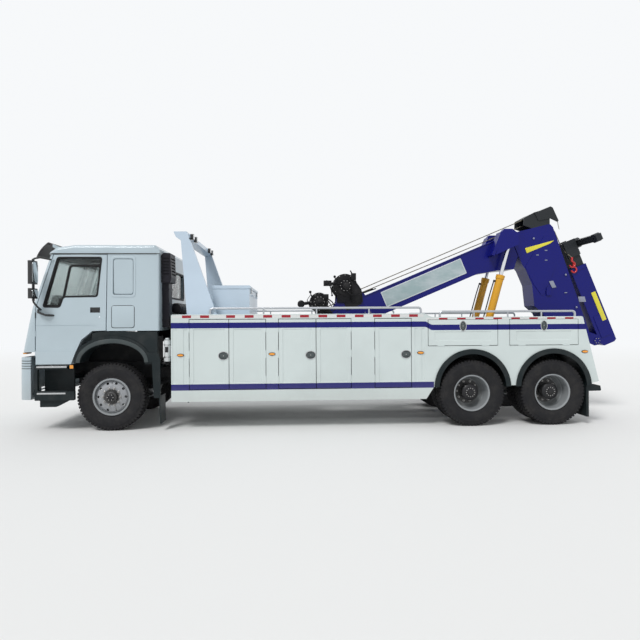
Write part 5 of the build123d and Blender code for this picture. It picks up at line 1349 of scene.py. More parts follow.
@dataclass
class CabTrim:
    """Seals, wipers, mirrors, lamps and steps of the cab.

    Attributes:
        screens: name and limits of each fixed pane, reach of its seal beyond and within the edge, both bends,
            span and plane.
        window: corners of a door's window, station and z.
        window_round: length taken off at each corner.
        mirrors: lower and upper edge of each mirror glass.
        pane_bars: outlines of the bars that hold the sliding pane, and of the wide front seal.
        quarter: limits, outside and inside, of the rim behind each door.
        hatch: limits of the hatch below it.
        cleaner: station, y and z of the drum behind the cab.
        markers: station and z of the side markers.
        tread_rows: stations, distances and heights of each step's treads.
        strip_rows: the same of the steps' worn edges.
        arch: middle of the front wheel arch.
        seat_parts: name, outline, half width, roundness and channels of each part of a seat.
        seat_y: distance of the seats from the middle.
        bunk: outline of the bunk's mattress.
        rim: middle of the steering wheel.
        dials: outline of the gauges' housing.
    """

    screens: tuple[tuple, ...] = (
        ("screen_seal", ((-1.010, 1.010), (2.000, 2.780)), (0.022, -0.018), (0.07, 0.10),
         (-0.012, 0.007), CabFront),
        ("rear_window_seal", ((-0.620, 0.620), (2.150, 2.620)), (0.018, -0.016), (0.06, 0.08),
         (0.770, 0.782), Across.LENGTH))
    window: Outline = (
        (-0.814, 2.768), (-0.125, 2.768), (-0.191, 2.143), (-0.717, 2.137), (-0.772, 1.975), (-1.034, 1.980))
    window_round: float = 0.040
    mirrors: tuple[Pair, ...] = ((2.352, 2.662), (2.124, 2.244))
    pane_bars: tuple[Outline, ...] = (
        ((-0.736, 2.137), (-0.645, 2.600), (-0.628, 2.636), (-0.592, 2.650), (-0.575, 2.620), (-0.600, 2.610),
         (-0.611, 2.592), (-0.702, 2.137)),
        ((-0.592, 2.650), (-0.136, 2.650), (-0.139, 2.620), (-0.592, 2.620)),
        ((-1.034, 1.984), (-0.990, 1.984), (-0.778, 2.764), (-0.814, 2.764)))
    quarter: tuple[Outline, Outline] = (((0.016, 0.407), (2.130, 2.784)), ((0.052, 0.371), (2.166, 2.748)))
    hatch: Outline = ((0.036, 0.383), (1.649, 1.992))
    cleaner: Point = (0.885, 0.0, 1.965)
    markers: tuple[Pair, ...] = ((1.116, 1.203), (2.565, 1.211), (4.967, 1.211), (7.700, 1.207))
    tread_rows: tuple[Outline, ...] = (
        ((-1.105, -0.655), (0.985, 1.222), (1.0455, 1.0515)),
        ((-1.105, -0.695), (1.180, 1.232), (0.6175, 0.6235)),
        ((-1.100, -0.690), (0.880, 1.170), (0.5995, 0.6045)))
    strip_rows: tuple[Outline, ...] = (
        ((-1.125, -0.660), (1.2365, 1.2395), (1.022, 1.046)),
        ((-1.120, -0.680), (1.2365, 1.2395), (0.605, 0.630)))
    arch: Pair = (0.045, 1.096)
    seat_parts: tuple[tuple[str, Outline, float, float, int], ...] = (
        ("seat", ((-0.540, 1.867), (-0.020, 1.867), (-0.020, 1.992), (-0.540, 2.012)), 0.262, 0.045, 5),
        ("seat_back", ((-0.100, 1.972), (0.050, 1.972), (0.175, 2.440), (0.075, 2.440)), 0.252, 0.040, 5),
        ("head_rest", ((0.095, 2.420), (0.165, 2.420), (0.200, 2.640), (0.110, 2.640)), 0.150, 0.035, 3))
    seat_y: float = 0.52
    bunk: Outline = ((0.320, 1.660), (0.712, 1.660), (0.712, 1.955), (0.320, 1.955))
    rim: Point = (-0.780, 0.520, 2.010)
    dials: Outline = ((-1.130, 1.975), (-0.950, 1.975), (-0.955, 2.100), (-1.010, 2.190), (-1.090, 2.160))

    def seals(self) -> None:
        """Rubber round the windscreen, the rear window and the door windows, and the sliding pane's bars."""
        for name, limits, grown, bends, span, across in self.screens:
            outer, inner = (rounded(moved_out(box_outline(*limits), out), bend)
                            for out, bend in zip(grown, bends))
            form = Form()
            form.band(outer, inner, span, across)
            form.place(name, "cab", Slot.INTERIOR, SEAL, 0.003)
        outline = rounded(self.window, self.window_round)
        for side, hand in SIDES:
            across = CabSide(hand)
            door = Form()
            door.band(moved_out(outline, 0.009), moved_out(outline, -0.020), (-0.034, 0.004), across)
            for bar in self.pane_bars:
                door.drawn(bar, (-0.030, -0.006), across)
            door.drawn(((-1.03, 2.000), (-0.765, 1.996), (-0.765, 2.012), (-1.03, 2.016)),
                       (-0.030, -0.010), across)
            door.place(f"window_seal_{side}", f"cab_door_{side}", Slot.INTERIOR, SEAL, 0.002)

    def doors(self) -> None:
        """Lock, lower fold, mirror glasses and their clamps on the doors."""
        for side, hand in SIDES:
            body = f"cab_door_{side}"
            glasses, clamps, fold, lock = (Form() for _ in range(4))
            for low, high in self.mirrors:
                outline = rounded(box_outline((hand * 1.312, hand * 1.488), (low, high)), 0.035)
                glasses.drawn(outline, (-1.0585, -1.0545), Across.LENGTH)
                clamps.tube([(-1.085, hand * 1.400, z) for z in (low - 0.055, high + 0.055)], 0.020, 12)
            glasses.place(f"mirror_glass_{side}", body, Slot.CHROME, MIRROR, 0.001)
            clamps.place(f"mirror_clamps_{side}", body, Slot.GUARD, DISH, 0.002)
            fold.drawn(((-1.128, 1.228), (-0.722, 1.228), (-0.716, 1.246), (-1.128, 1.246)), (-0.003, 0.0035),
                       CabSide(hand))
            fold.place(f"door_fold_{side}", body, Slot.CAB, WHITE, 0.002)
            lock.spun(((0, -0.004), (0.015, -0.004), (0.015, 0.002), (0.010, 0.0045), (0, 0.0045)),
                      (-0.159, hand * 1.2165, 1.802), hand, steps=24)
            lock.place(f"lock_{side}", body, Slot.CHROME, CHROME)

    def wipers(self) -> None:
        """Two wipers parked along the foot of the windscreen."""
        form = Form()
        foot = cab_face(1.955)
        for y in (-0.62, 0.30):
            form.tube([(foot + 0.010, y, 1.950), (foot - 0.040, y, 1.958)], 0.020, 16)
            form.tube([(foot - 0.030, y, 1.962), (cab_face(2.02) - 0.034, y + 0.28, 2.018),
                       (cab_face(2.075) - 0.024, y + 0.50, 2.070)], 0.008, 8)
            blade = ((0.16, 2.035), (0.78, 2.110))
            form.tube([(cab_face(z) - 0.016, y + out, z) for out, z in blade], 0.009, 6)
        form.place("wipers", "cab", Slot.GUARD, DISH, 0.001)

    def grille(self) -> None:
        """Mesh and bright slats behind the slots."""
        form = Form()
        form.drawn(box_outline((-0.580, 0.580), (1.335, 1.595)), (-0.040, -0.034), CabFront)
        form.place("grille_mesh", "cab", Slot.GUARD, SEAL)
        slat = Form()
        slat.block((FRONT_AXLE_X, FRONT_AXLE_X + 0.030), (-0.570, 0.570), (-0.0045, 0.0045))
        Repeat(6, (cab_face(1.371) + 0.010, 0.0, 1.371), step=(-0.00837, 0.0, 0.042)).place(
            slat, "grille_slats", "cab", Slot.CHROME, BRIGHT)

    def quarters(self) -> None:
        """Raised rim of the recess behind each door, the hatch below it, and the dark gear behind the cab."""
        outer, inner = (rounded(box_outline(*limits), bend)
                        for limits, bend in zip(self.quarter, (0.060, 0.045)))
        hatch = rounded(box_outline(*self.hatch), 0.040)
        for side, hand in SIDES:
            rim, seam = Form(), Form()
            rim.band(outer, inner, (-0.004, 0.006), CabSide(hand))
            rim.drawn(hatch, (-0.004, 0.0045), CabSide(hand))
            rim.place(f"quarter_rims_{side}", "cab", Slot.CAB, WHITE, 0.003)
            seam.band(moved_out(hatch, 0.009), moved_out(hatch, 0.001), (-0.003, 0.0012), CabSide(hand))
            seam.place(f"hatch_seam_{side}", "cab", Slot.INTERIOR, SEAL)
        gear = Form()
        gear.spun(((0, -0.56), (0.085, -0.56), (0.092, -0.54), (0.092, 0.54), (0.085, 0.56), (0, 0.56)),
                  self.cleaner, 1, steps=40)
        gear.block((0.835, 0.950), (-0.600, 0.640), (1.480, 1.845))
        for y in (-0.42, -0.14, 0.14, 0.42):
            gear.spun(box_outline((0.092, 0.097), (y - 0.012, y + 0.012)), self.cleaner, 1)
        gear.place("gear_behind_cab", "root", Slot.GUARD, INTAKE, 0.004)

    def lamps(self) -> None:
        """Headlamp frames and bulbs' bowls, the markers' bases and the lamps on the hoop."""
        frames, bowls, bases, lenses = (Form() for _ in range(4))
        for _, hand in SIDES:
            outline = box_outline((hand * 0.690, hand * 1.030), (0.640, 0.845))
            frames.band(rounded(moved_out(outline, 0.006), 0.02), rounded(moved_out(outline, -0.014), 0.02),
                        (-1.4195, -1.410), Across.LENGTH)
            for y in (0.775, 0.945):
                bowls.spun(box_outline((0.070, 0.078), (0, 0.004)), (-1.4185, hand * y, 0.742),
                           1, (1, 0, 0), 36)
        for spot in self.markers:
            bases.pair_band(ring(spot, 0.056, 0.025), ring(spot, 0.046, 0.016), (1.247, 1.256))
        for y in (-1.0, -0.7, 0.7, 1.0):
            lenses.drawn(rounded(box_outline((y - 0.052, y + 0.052), (3.083, 3.157)), 0.015), (1.289, 1.2935),
                         Across.LENGTH)
        frames.place("headlamp_frames", "root", Slot.GUARD, DISH, 0.002)
        bowls.place("headlamp_rings", "root", Slot.CHROME, CHROME)
        bases.place("marker_bases", "root", Slot.GUARD, SEAL, 0.002)
        lenses.place("work_lamp_lenses", "root", Slot.LAMP, LAMP_GLASS, 0.001)

    def steps(self) -> None:
        """Treads of the cab's steps and their worn edges, the arches' lips and the amber lamps by them."""
        treads, strips, markers, lips, corners = (Form() for _ in range(5))
        for form, rows in ((treads, self.tread_rows), (strips, self.strip_rows)):
            for row in rows:
                form.pair_block(*row)
        markers.pair_drawn(rounded(box_outline((-0.612, -0.556), (1.008, 1.062)), 0.010), (1.236, 1.2430))
        outer, inner = (half_ring(self.arch, u, v, 40) for u, v in ((0.562, 0.376), (0.503, 0.308)))
        lips.pair_drawn(outer + inner[::-1], (1.234, 1.2455))
        for _, hand in SIDES:
            lamp = rounded(box_outline((hand * 0.98, hand * 1.14), (1.236, 1.260)), 0.008)
            corners.drawn(lamp, (-0.050, 0.004), CabFront)
        treads.place("step_treads", "root", Slot.STEEL, TREADS, 0.001)
        lips.place("arch_lips", "root", Slot.GUARD, LIP_GREY, 0.004)
        strips.place("step_strips", "root", Slot.STEEL, BRIGHT, 0.001)
        markers.place("step_markers", "root", Slot.LAMP, AMBER, 0.001)
        corners.place("corner_lamps", "cab", Slot.LAMP, AMBER, 0.001)

    def interior(self) -> None:
        """Seats, bunk mattress, wheel rim and gauges."""
        for side, hand in SIDES:
            for name, outline, half, edge, channels in self.seat_parts:
                part = Form()
                part.cushion(outline, hand * self.seat_y, half, edge, channels)
                part.place(f"{name}_{side}", "cab", Slot.INTERIOR, CLOTH)
        bunk, wheel, dials = (Form() for _ in range(3))
        bunk.cushion(self.bunk, 0.0, 1.108, 0.050, 9)
        bunk.place("bunk", "cab", Slot.INTERIOR, CLOTH)
        centre, across, up = Vector(self.rim), Vector((0, 1, 0)), Vector((0.866, 0, 0.5))
        path = [tuple(centre + across * u + up * v) for u, v in ring((0, 0), 0.212, 0.212, 48)]
        wheel.tube(path, 0.0208, 10, looped=True)
        wheel.place("wheel_rim", "cab", Slot.INTERIOR, VINYL)
        dials.drawn(self.dials, (0.300, 0.780))
        dials.place("dials", "cab", Slot.INTERIOR, VINYL, 0.012)

    def build(self) -> None:
        """Everything on and in the cab."""
        self.seals()
        self.doors()
        self.wipers()
        self.grille()
        self.quarters()
        self.lamps()
        self.steps()
        self.interior()


@dataclass
class BodyTrim:
    """Latches, tape, treads and fittings of the side bodies and the deck.

    Attributes:
        face: distance of the body's skin from the middle.
        latch_rows: panel, station, height and half sizes of each latch.
        tape_rows: name, blocks, first station, spacing and edges of each row of tape blocks.
        arch_z: height of the wheel arches' middle.
        shade_sheet_reach: outer and inner radius of the black sheets that stand for the shade in the arches.
        canister: station, y and z of the canister's middle.
        tank_y: distance of the tanks' middle from the truck's.
        tank_z: height of the fuel tanks' middle.
    """

    face: float = 1.248
    latch_rows: tuple[tuple[str, float, float, float, float], ...] = (
        ("locker_door_1", 1.793, 1.188, 0.078, 0.062), ("locker_door_3", 3.185, 1.188, 0.078, 0.062),
        ("locker_door_5", 4.732, 1.188, 0.078, 0.062), ("rear_hatch_1", 5.670, 1.640, 0.0484, 0.078),
        ("rear_hatch_2", 7.0175, 1.640, 0.0484, 0.078))
    tape_rows: tuple[tuple[str, int, float, float, float, float], ...] = (
        ("a", 2, 1.214, 0.284, 1.7925, 1.8355), ("b", 11, 1.909, 0.2947, 1.7925, 1.8355),
        ("c", 8, 5.343, 0.2998, 1.7485, 1.7755))
    arch_z: float = 0.630
    shade_sheet_reach: Pair = (0.590, 0.586)
    canister: Point = (0.877, 1.110, 1.275)
    tank_y: float = 0.530
    tank_z: float = 0.710

    def latch(self, body: str, hand: int, centre: Pair, long: float, high: float) -> None:
        """One latch: bright rim, black dish and a paddle with its key barrel."""
        face = hand * self.face
        rim = Form()
        rim.band(ring(centre, long + 0.009, high + 0.009, 40), ring(centre, long - 0.002, high - 0.002, 40),
                 (face - hand * 0.002, face + hand * 0.0045))
        rim.place(f"latch_rim_{body}", body, Slot.CHROME, BRIGHT, 0.0015)
        dish = Form()
        dish.drawn(ring(centre, long + 0.001, high + 0.001, 40), (face - hand * 0.0145, face - hand * 0.0115))
        across, up = (0.72, 0.5) if long > high else (0.5, 0.72)
        half_u, half_v = long * across + 0.001, high * up + 0.001
        paddle = box_outline((centre[0] - half_u, centre[0] + half_u),
                             (centre[1] - half_v, centre[1] + half_v))
        dish.drawn(rounded(paddle, 0.02), (face - hand * 0.0120, face - hand * 0.0015))
        dish.place(f"latch_dish_{body}", body, Slot.GUARD, LATCH_GREY, 0.002)
        key = Form()
        key.spun(((0, -0.003), (0.008, -0.003), (0.008, 0.002), (0.005, 0.003), (0, 0.003)),
                 (centre[0], face, centre[1]), hand, steps=20)
        key.place(f"latch_key_{body}", body, Slot.CHROME, NUT)

    def latches(self) -> None:
        """Every latch."""
        for side, hand in SIDES:
            for panel, station, z, long, high in self.latch_rows:
                self.latch(f"{panel}_{side}", hand, (station, z), long, high)

    def tape(self) -> None:
        """White tape with red blocks along the body's upper edge."""
        for side, hand in SIDES:
            y = hand * self.face
            base = Form()
            for stations, zs in (((0.985, 5.020), (1.792, 1.836)), ((5.060, 7.640), (1.748, 1.776))):
                base.block(stations, (y, y + hand * 0.0008), zs)
            base.place(f"tape_{side}", "root", Slot.BODY, TAPE_WHITE)
            for name, count, start, step, low, high in self.tape_rows:
                tile = Form()
                half_z = (high - low) / 2
                tile.block((FRONT_AXLE_X - 0.071, FRONT_AXLE_X + 0.071), (0, hand * 0.0012),
                           (-half_z, half_z))
                Repeat(count, (start, y + hand * 0.0004, (low + high) / 2), step=(-step, 0, 0)).place(
                    tile, f"tape_blocks_{name}_{side}", "root", Slot.BODY, TAPE_RED)

    def deck(self) -> None:
        """Deck plates with a raised pattern, and the clasps of the locker's lid."""
        plates = Form()
        for stations in ((0.980, 1.570), (2.200, 2.740)):
            plates.block(stations, (-0.600, 0.600), (1.840, 1.8425))
        plates.place("deck_plates", "root", Slot.BODY, DECK)
        for start in (0.995, 2.215):
            for k in range(10):
                bars = Form()
                for turn, shift in ((0.6, 0.0125), (-0.6, -0.0125)):
                    ahead = Vector((math.cos(turn), math.sin(turn)))
                    wide = Vector((-ahead.y, ahead.x)) * 0.003
                    spot = Vector((shift, 0.0))
                    corners = (spot - ahead * 0.016, spot + wide, spot + ahead * 0.016, spot - wide)
                    bars.skin([[(*corner, z) for corner in corners] for z in (0.0, 0.002)])
                Repeat(23, (start + 0.055 * k, -0.580 + (k % 2) * 0.026, 1.8420), step=(0, 0.0515, 0)).place(
                    bars, f"deck_pattern_{round(start)}_{k}", "root", Slot.BODY, DECK)
        clasps = Form()
        for y in (-0.62, 0.62):
            clasps.block((2.180, 2.204), (y - 0.022, y + 0.022), (2.205, 2.300))
            clasps.block((1.556, 1.582), (y - 0.035, y + 0.035), (2.255, 2.325))
        clasps.place("locker_clasps", "root", Slot.CHROME, BRIGHT, 0.003)

    def upright_canister(self) -> None:
        """Skin, gauge window and straps of the canister behind the cab."""
        up = (0, 0, 1)
        skin = Form()
        skin.spun(((0, 0.178), (0.030, 0.178), (0.030, 0.200), (0, 0.202)), self.canister, 1, up, 24)
        skin.spun(((0, -0.1755), (0.0535, -0.1755), (0.0545, -0.168), (0.0545, 0.160), (0.046, 0.178),
                   (0, 0.180)), self.canister, 1, up, 40)
        skin.place("canister_skin", "root", Slot.CAB, CANISTER, 0.001)
        window = Form()
        window.block((0.852, 0.902), (1.150, 1.1668), (1.245, 1.335))
        window.place("canister_window", "root", Slot.GUARD, DISH, 0.003)
        straps = Form()
        for z in (-0.105, 0.090):
            straps.spun(box_outline((0.054, 0.0570), (z - 0.010, z + 0.010)), self.canister, 1, up, 40)
        straps.place("canister_straps", "root", Slot.STEEL, BRIGHT)

    def tanks(self) -> None:
        """Straps and cap of the fuel tanks, and bands round the air tanks."""
        straps = Form()
        for _, hand in SIDES:
            outline, inner = (
                [(hand * (self.tank_y + u), self.tank_z + v)
                 for u, v in rounded(box_outline((-half, half), (-half - 0.12, half + 0.12)), bend)]
                for half, bend in ((0.0735, 0.07), (0.0695, 0.066)))
            for station in (1.55, 2.05):
                straps.band(outline, inner, (station - 0.025, station + 0.025), Across.LENGTH)
            for station in (2.72, 2.95, 3.23, 3.46):
                straps.spun(box_outline((0.0855, 0.0880), (-0.015, 0.015)),
                            (station, hand * self.tank_y, 0.690), 1, (1, 0, 0), 40)
        straps.place("tank_straps", "root", Slot.STEEL, NUT)
        cap = Form()
        cap.spun(((0, 0), (0.045, 0), (0.045, 0.022), (0.038, 0.028), (0, 0.028)), (1.45, self.tank_y, 0.895),
                 1, (0, 0, 1), 32)
        cap.place("fuel_cap", "root", Slot.GUARD, DISH, 0.002)

    def arch_shade(self) -> None:
        """Black sheets over the twin wheels and screens between the arches and the frame, put in as painted
        shade inside the arches.
        """
        form = Form()
        # Painted shade: black sheets that darken the arches over the twin wheels and beside the frame.
        for _, station in DRIVEN_AXLES:
            outer, inner = (half_ring((station, self.arch_z), reach, reach, 28) for reach in self.shade_sheet_reach)
            form.pair_drawn(outer + inner[::-1], (0.640, 1.232))
        form.pair_block((5.150, 7.760), (0.574, 0.580), (0.900, 1.420))
        form.place("arch_shade_sheets", "root", Slot.GUARD, GUARD_BLACK)

    def build(self) -> None:
        """Everything on the bodies and the deck."""
        self.arch_shade()
        self.latches()
        self.tape()
        self.deck()
        self.upright_canister()
        self.tanks()


@dataclass
class BoomTrim:
    """Signs, ropes, hooks, wires and fasteners of the boom, the winches and the arm.

    Attributes:
        drums: name, along, above and barrel radius of each winch.
        sheave: station and z of the sheaves.
        groove: radius of their grooves.
        rope: radius of the ropes.
        core: radius of a drum's core as a share of its barrel's.
        lay: turns of rope along a drum, and the first one's place and the step between them.
        sheave_y: distance of each sheave from the middle.
        dashes: station and z of the small lugs on the leg.
        hooks: station, y and z of each rope's hook.
        hook_bend: turns along a hook's bend, in radians.
        winch_wires: points of each wire round a winch, from its axle, and its radius.
        gear_rods: points, radius and sides of the rods and pipes beside the winches.
        pads: station and z of the leg's wear pads.
        cylinder: station and z of the lift cylinders' feet.
        cylinder_rise: run of the lift cylinders.
    """

    drums: tuple[tuple[str, float, float, float], ...] = (
        ("rear", -0.155, 0.678, 0.220), ("front", -0.702, 0.596, 0.170))
    sheave: Pair = (7.480, 3.600)
    groove: float = 0.098
    rope: float = 0.0085
    core: float = 0.55
    lay: tuple[int, float, float] = (15, -0.147, 0.021)
    sheave_y: float = 0.075
    dashes: tuple[Pair, ...] = ((7.400, 2.925), (7.560, 2.830), (7.560, 3.010), (7.930, 2.230))
    hooks: tuple[Point, ...] = ((8.060, 0.205, 2.830), (8.100, 0.185, 2.735))
    hook_bend: tuple[float, ...] = (0.0, 0.5, 1.0, 1.6, 2.2, 2.8, 3.4, 4.0, 4.5)
    winch_wires: tuple[tuple[tuple[Point, ...], float], ...] = (
        (((0.05, 0.300, 0.140), (0.12, 0.310, 0.040), (0.13, 0.300, -0.120), (0.10, 0.250, -0.280)), 0.013),
        (((0.02, 0.330, -0.100), (0.10, 0.335, -0.170), (0.22, 0.300, -0.180), (0.33, 0.232, -0.110),
          (0.45, 0.226, -0.090)), 0.009),
        (((-0.06, 0.330, 0.085), (-0.16, 0.345, 0.120), (-0.22, 0.330, 0.030), (-0.16, 0.300, -0.120),
          (0.0, 0.236, -0.190)), 0.007),
        (((-0.03, -0.350, 0.09), (0.07, -0.360, 0.130), (0.21, -0.300, 0.020), (0.29, -0.235, -0.120),
          (0.57, -0.226, -0.02)), 0.012),
        (((0.03, -0.350, 0.09), (0.13, -0.360, 0.130), (0.27, -0.300, 0.020), (0.35, -0.235, -0.120),
          (0.63, -0.226, -0.02)), 0.012))
    gear_rods: tuple[tuple[tuple[Point, ...], float, int], ...] = (
        (((3.560, 0.290, 2.400), (3.680, 0.285, 2.410)), 0.024, 12),
        (((3.560, 0.300, 2.380), (3.590, 0.305, 2.280), (3.600, 0.305, 2.190)), 0.011, 10),
        (((3.600, 0.270, 2.190), (3.600, 0.340, 2.190)), 0.016, 10),
        (((3.960, 0.268, 2.590), (3.935, 0.268, 2.640)), 0.012, 10),
        (((3.100, 0.200, 2.050), (3.215, 0.200, 2.065)), 0.030, 12))
    pads: tuple[Pair, ...] = ((7.330, 3.230), (7.930, 2.560), (8.130, 1.960))
    cylinder: Pair = (6.270, 1.190)
    cylinder_rise: Pair = (0.570, 2.035)

    def plates(self) -> None:
        """Blank sign plates on the boom, and the blank yellow plates on the leg and the arm."""
        sign = rounded(((0.395, 0.026), (1.995, 0.022), (1.995, 0.318), (0.395, 0.320)), 0.012, 3)
        faces, frames, yellow, arm, patches, low = (Form() for _ in range(6))
        frames.pair_band(sign, moved_out(sign, -0.016), (0.2100, 0.2165), BoomSide)
        faces.pair_drawn(moved_out(sign, -0.010), (0.2100, 0.2145), BoomSide)
        stripe = ((7.165, 3.050), (7.200, 2.958), (7.636, 3.136), (7.715, 3.197))
        yellow.pair_drawn(rounded(stripe, 0.010, 3), (0.2230, 0.2262))
        label = ((0.285, 0.262), (0.285, 0.345), (0.850, 0.345), (0.850, 0.262))
        arm.pair_drawn(rounded(label, 0.010, 3), (0.1602, 0.1715), ArmSide)
        patches.pair_drawn(((7.612, 2.440), (7.690, 2.452), (7.750, 2.330), (7.672, 2.315)), (0.2230, 0.2290))
        for station, z in self.dashes:
            patches.pair_block((station - 0.024, station + 0.024), (0.2140, 0.2300), (z - 0.008, z + 0.008))
        low.pair_drawn(((8.190, 2.160), (8.320, 2.160), (8.345, 2.060), (8.215, 2.060)), (0.1602, 0.1660))
        patches.place("leg_patches", "inner_boom", Slot.BOOM, PATCH_GREY, 0.002)
        low.place("arm_patches", "underlift_arm", Slot.BOOM, PATCH_GREY, 0.001)
        frames.place("sign_frames", "boom", Slot.BOOM, SIGN_FRAME, 0.001)
        faces.place("sign_faces", "boom", Slot.BOOM, SIGN_FACE)
        yellow.place("leg_plates", "inner_boom", Slot.BOOM, PLATE_YELLOW, 0.001)
        arm.place("arm_plates", "underlift_arm", Slot.BOOM, PLATE_YELLOW, 0.001)

    def windings(self) -> None:
        """Rope laid on both drums."""
        count, first, step = self.lay
        for name, along, above, radius in self.drums:
            station, z = boom_at(along, above)
            turn = Form()
            section = ring((radius * self.core + 0.026 + 0.0075, 0.0), 0.0105, 0.0105, 8)
            turn.spun(section, (FRONT_AXLE_X, 0, 0), 1, steps=56)
            Repeat(count, (station, first, z), step=(0, step, 0)).place(
                turn, f"windings_{name}", "boom", Slot.STEEL, ROPE)

    def ropes(self) -> None:
        """The taut ropes from below the drums over the sheaves, and their ends with the hooks."""
        end = Vector(self.sheave)
        reach = self.groove + self.rope
        for drum, y, hook, turns in zip(self.drums, (self.sheave_y, -self.sheave_y), self.hooks, (7, 14)):
            name, along, above, radius = drum
            start = Vector(boom_at(along, above))
            ahead = (end - start).normalized()
            up = Vector((-ahead.y, ahead.x))
            start = start - up * (radius * self.core + 0.0415)
            wrap = (up if name == "rear" else -ahead) * reach
            top = end + wrap
            line = Form()
            points = [start.lerp(top, i / 24) for i in range(25)]
            line.tube([(p.x, y * (0.4 + 0.6 * i / 24), p.y) for i, p in enumerate(points)], self.rope, 8)
            piece = link_mesh(f"rope_{name}", line.made())
            eased(piece, 0)
            finish_object(piece, ROPE)
            a, b = ((at_x(p.x), y, p.y) for p in (start, top))
            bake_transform(piece)
            first = math.atan2(wrap.y, wrap.x) % math.tau
            path = [(end.x + reach * math.cos(t), y, end.y + reach * math.sin(t))
                    for t in (first - i * 0.22 for i in range(turns))]
            station, out, z = hook
            path += [(7.800, y, 3.380), (7.905, y, 3.140), (7.975, (y + out) / 2, 2.980),
                     (station, out, z + 0.050)]
            tail = Form()
            tail.tube(path, self.rope, 8)
            tail.place(f"rope_tail_{name}", "inner_boom", Slot.STEEL, ROPE)
            self.hook(f"hook_{name}", station, out, z)
        wire = Form()
        for _, hand in SIDES:
            y = hand * 0.2220
            wire.tube([(7.782, y, 3.560), (7.792, y, 3.480), (7.812, y, 3.400)], 0.006, 8)
        wire.place("safety_wires", "inner_boom", Slot.STEEL, ROPE)

    def hook(self, name: str, station: float, y: float, z: float) -> None:
        """A forged hook hanging from a rope's thimble."""
        form = Form()
        form.tube([(station, y, z + 0.055), (station, y, z - 0.030)], 0.019, 12)
        eye = (station + 0.006, z - 0.080)
        bend = [(eye[0] + 0.050 * math.sin(a), y, eye[1] + 0.050 * math.cos(a)) for a in self.hook_bend]
        form.tube(bend, 0.0155, 12)
        form.place(name, "inner_boom", Slot.STEEL, HOOK_RED, 0.002)

    def winch_parts(self) -> None:
        """Bolts, ports and wires of the winches."""
        for name, along, above, radius in self.drums:
            station, z = boom_at(along, above)
            for part, count, bolts, out, hand in (
                ("gear", 10, 0.090, 0.290, 1), ("plate", 12, radius - 0.020, 0.224, 1),
                ("motor", 8, 0.078, 0.360, -1), ("plate_far", 12, radius - 0.020, 0.224, -1),
            ):
                bolt_ring(f"bolts_{part}_{name}", "boom", count, (station, 0.0, z), bolts, out, hand)
            cap = Form()
            cap.spun(((0, 0.399), (0.040, 0.399), (0.040, 0.408), (0.030, 0.414), (0, 0.414)),
                     (station, 0, z), 1)
            cap.spun(box_outline((0.062, 0.070), (0.300, 0.330)), (station, 0, z), 1)
            cap.place(f"winch_cap_{name}", "boom", Slot.WINCH, WINCH_BLACK, 0.002)
            wires = Form()
            for path, thick in self.winch_wires:
                wires.tube([(station + s, y, z + rise) for s, y, rise in path], thick, 8)
            wires.place(f"winch_wires_{name}", "boom", Slot.WINCH, SEAL)

    def mount_plates(self) -> None:
        """Black side plates that carry the rear winch, with a stiffening rim."""
        form = Form()
        outline = rounded(((3.700, 2.330), (3.780, 2.430), (4.050, 2.430), (4.140, 2.300), (4.165, 2.060),
                           (3.690, 2.060)), 0.030, 4)
        form.pair_drawn(outline, (0.2255, 0.2330))
        form.pair_band(outline, moved_out(outline, -0.016), (0.2325, 0.2400))
        form.place("winch_side_plates", "boom", Slot.WINCH, WINCH_BLACK, 0.002)
        gear = Form()
        gear.block((3.450, 3.590), (0.245, 0.345), (2.360, 2.455))
        gear.block((3.945, 4.035), (0.236, 0.300), (2.470, 2.590))
        gear.block((3.462, 3.540), (0.236, 0.296), (2.130, 2.215))
        gear.spun(((0, 0.20), (0.034, 0.20), (0.038, 0.21), (0.038, 0.375), (0.030, 0.385), (0, 0.385)),
                  (3.500, 0.0, 2.420), 1, steps=24)
        gear.spun(((0, 0.120), (0.058, 0.120), (0.064, 0.135), (0.064, 0.370), (0.050, 0.385), (0, 0.385)),
                  (3.045, 0.0, 2.040), 1, steps=32)
        for path, thick, sides in self.gear_rods:
            gear.tube(path, thick, sides)
        gear.place("winch_gear", "boom", Slot.WINCH, WINCH_BLACK, 0.004)

    def fasteners(self) -> None:
        """Pin caps and bolts of the pedestal, leg, arm and cylinders, and the cylinders' ports."""
        pivot, fold = ((station, 0.0, z) for station, z in (BOOM_PIVOT, ARM_FOOT))
        caps, ports = Form(), Form()
        rise = Vector(self.cylinder_rise).normalized()
        foot = Vector(self.cylinder)
        for side, hand in SIDES:
            caps.spun(((0, 0.275), (0.062, 0.275), (0.062, 0.281), (0.052, 0.285), (0, 0.285)), pivot, hand)
            bolt_ring(f"pivot_bolts_{side}", "root", 6, pivot, 0.098, 0.265, hand)
            bolt_ring(f"fold_bolts_{side}", "inner_boom", 6, fold, 0.046, 0.225, hand)
            pads = Form()
            for station, z in self.pads:
                pads.spun(((0, 0.222), (0.017, 0.222), (0.017, 0.2320), (0.012, 0.2350), (0, 0.2350)),
                          (station, 0, z), hand, steps=24)
            pads.place(f"leg_pads_{side}", "inner_boom", Slot.BOOM, PATCH_GREY, 0.001)
            y = hand * 0.372
            for reach in (0.180, 1.270):
                spot = foot + rise * reach
                ports.tube([(spot.x - 0.060, y, spot.y + 0.020), (spot.x - 0.098, y, spot.y + 0.030)],
                           0.020, 12)
            path = [foot + rise * reach + Vector((shift, 0.030)) for reach, shift in
                    ((1.270, -0.090), (1.05, -0.098), (0.30, -0.098))]
            ports.tube([(p.x, y, p.y) for p in path], 0.011, 8)
        caps.place("pivot_caps", "root", Slot.STEEL, NUT, 0.002)
        ports.place("cylinder_ports", "lift_barrels", Slot.STEEL, DISH, 0.001)

    def build(self) -> None:
        """Everything on the boom and what follows it."""
        self.plates()
        self.windings()
        self.ropes()
        self.winch_parts()
        self.mount_plates()
        self.fasteners()


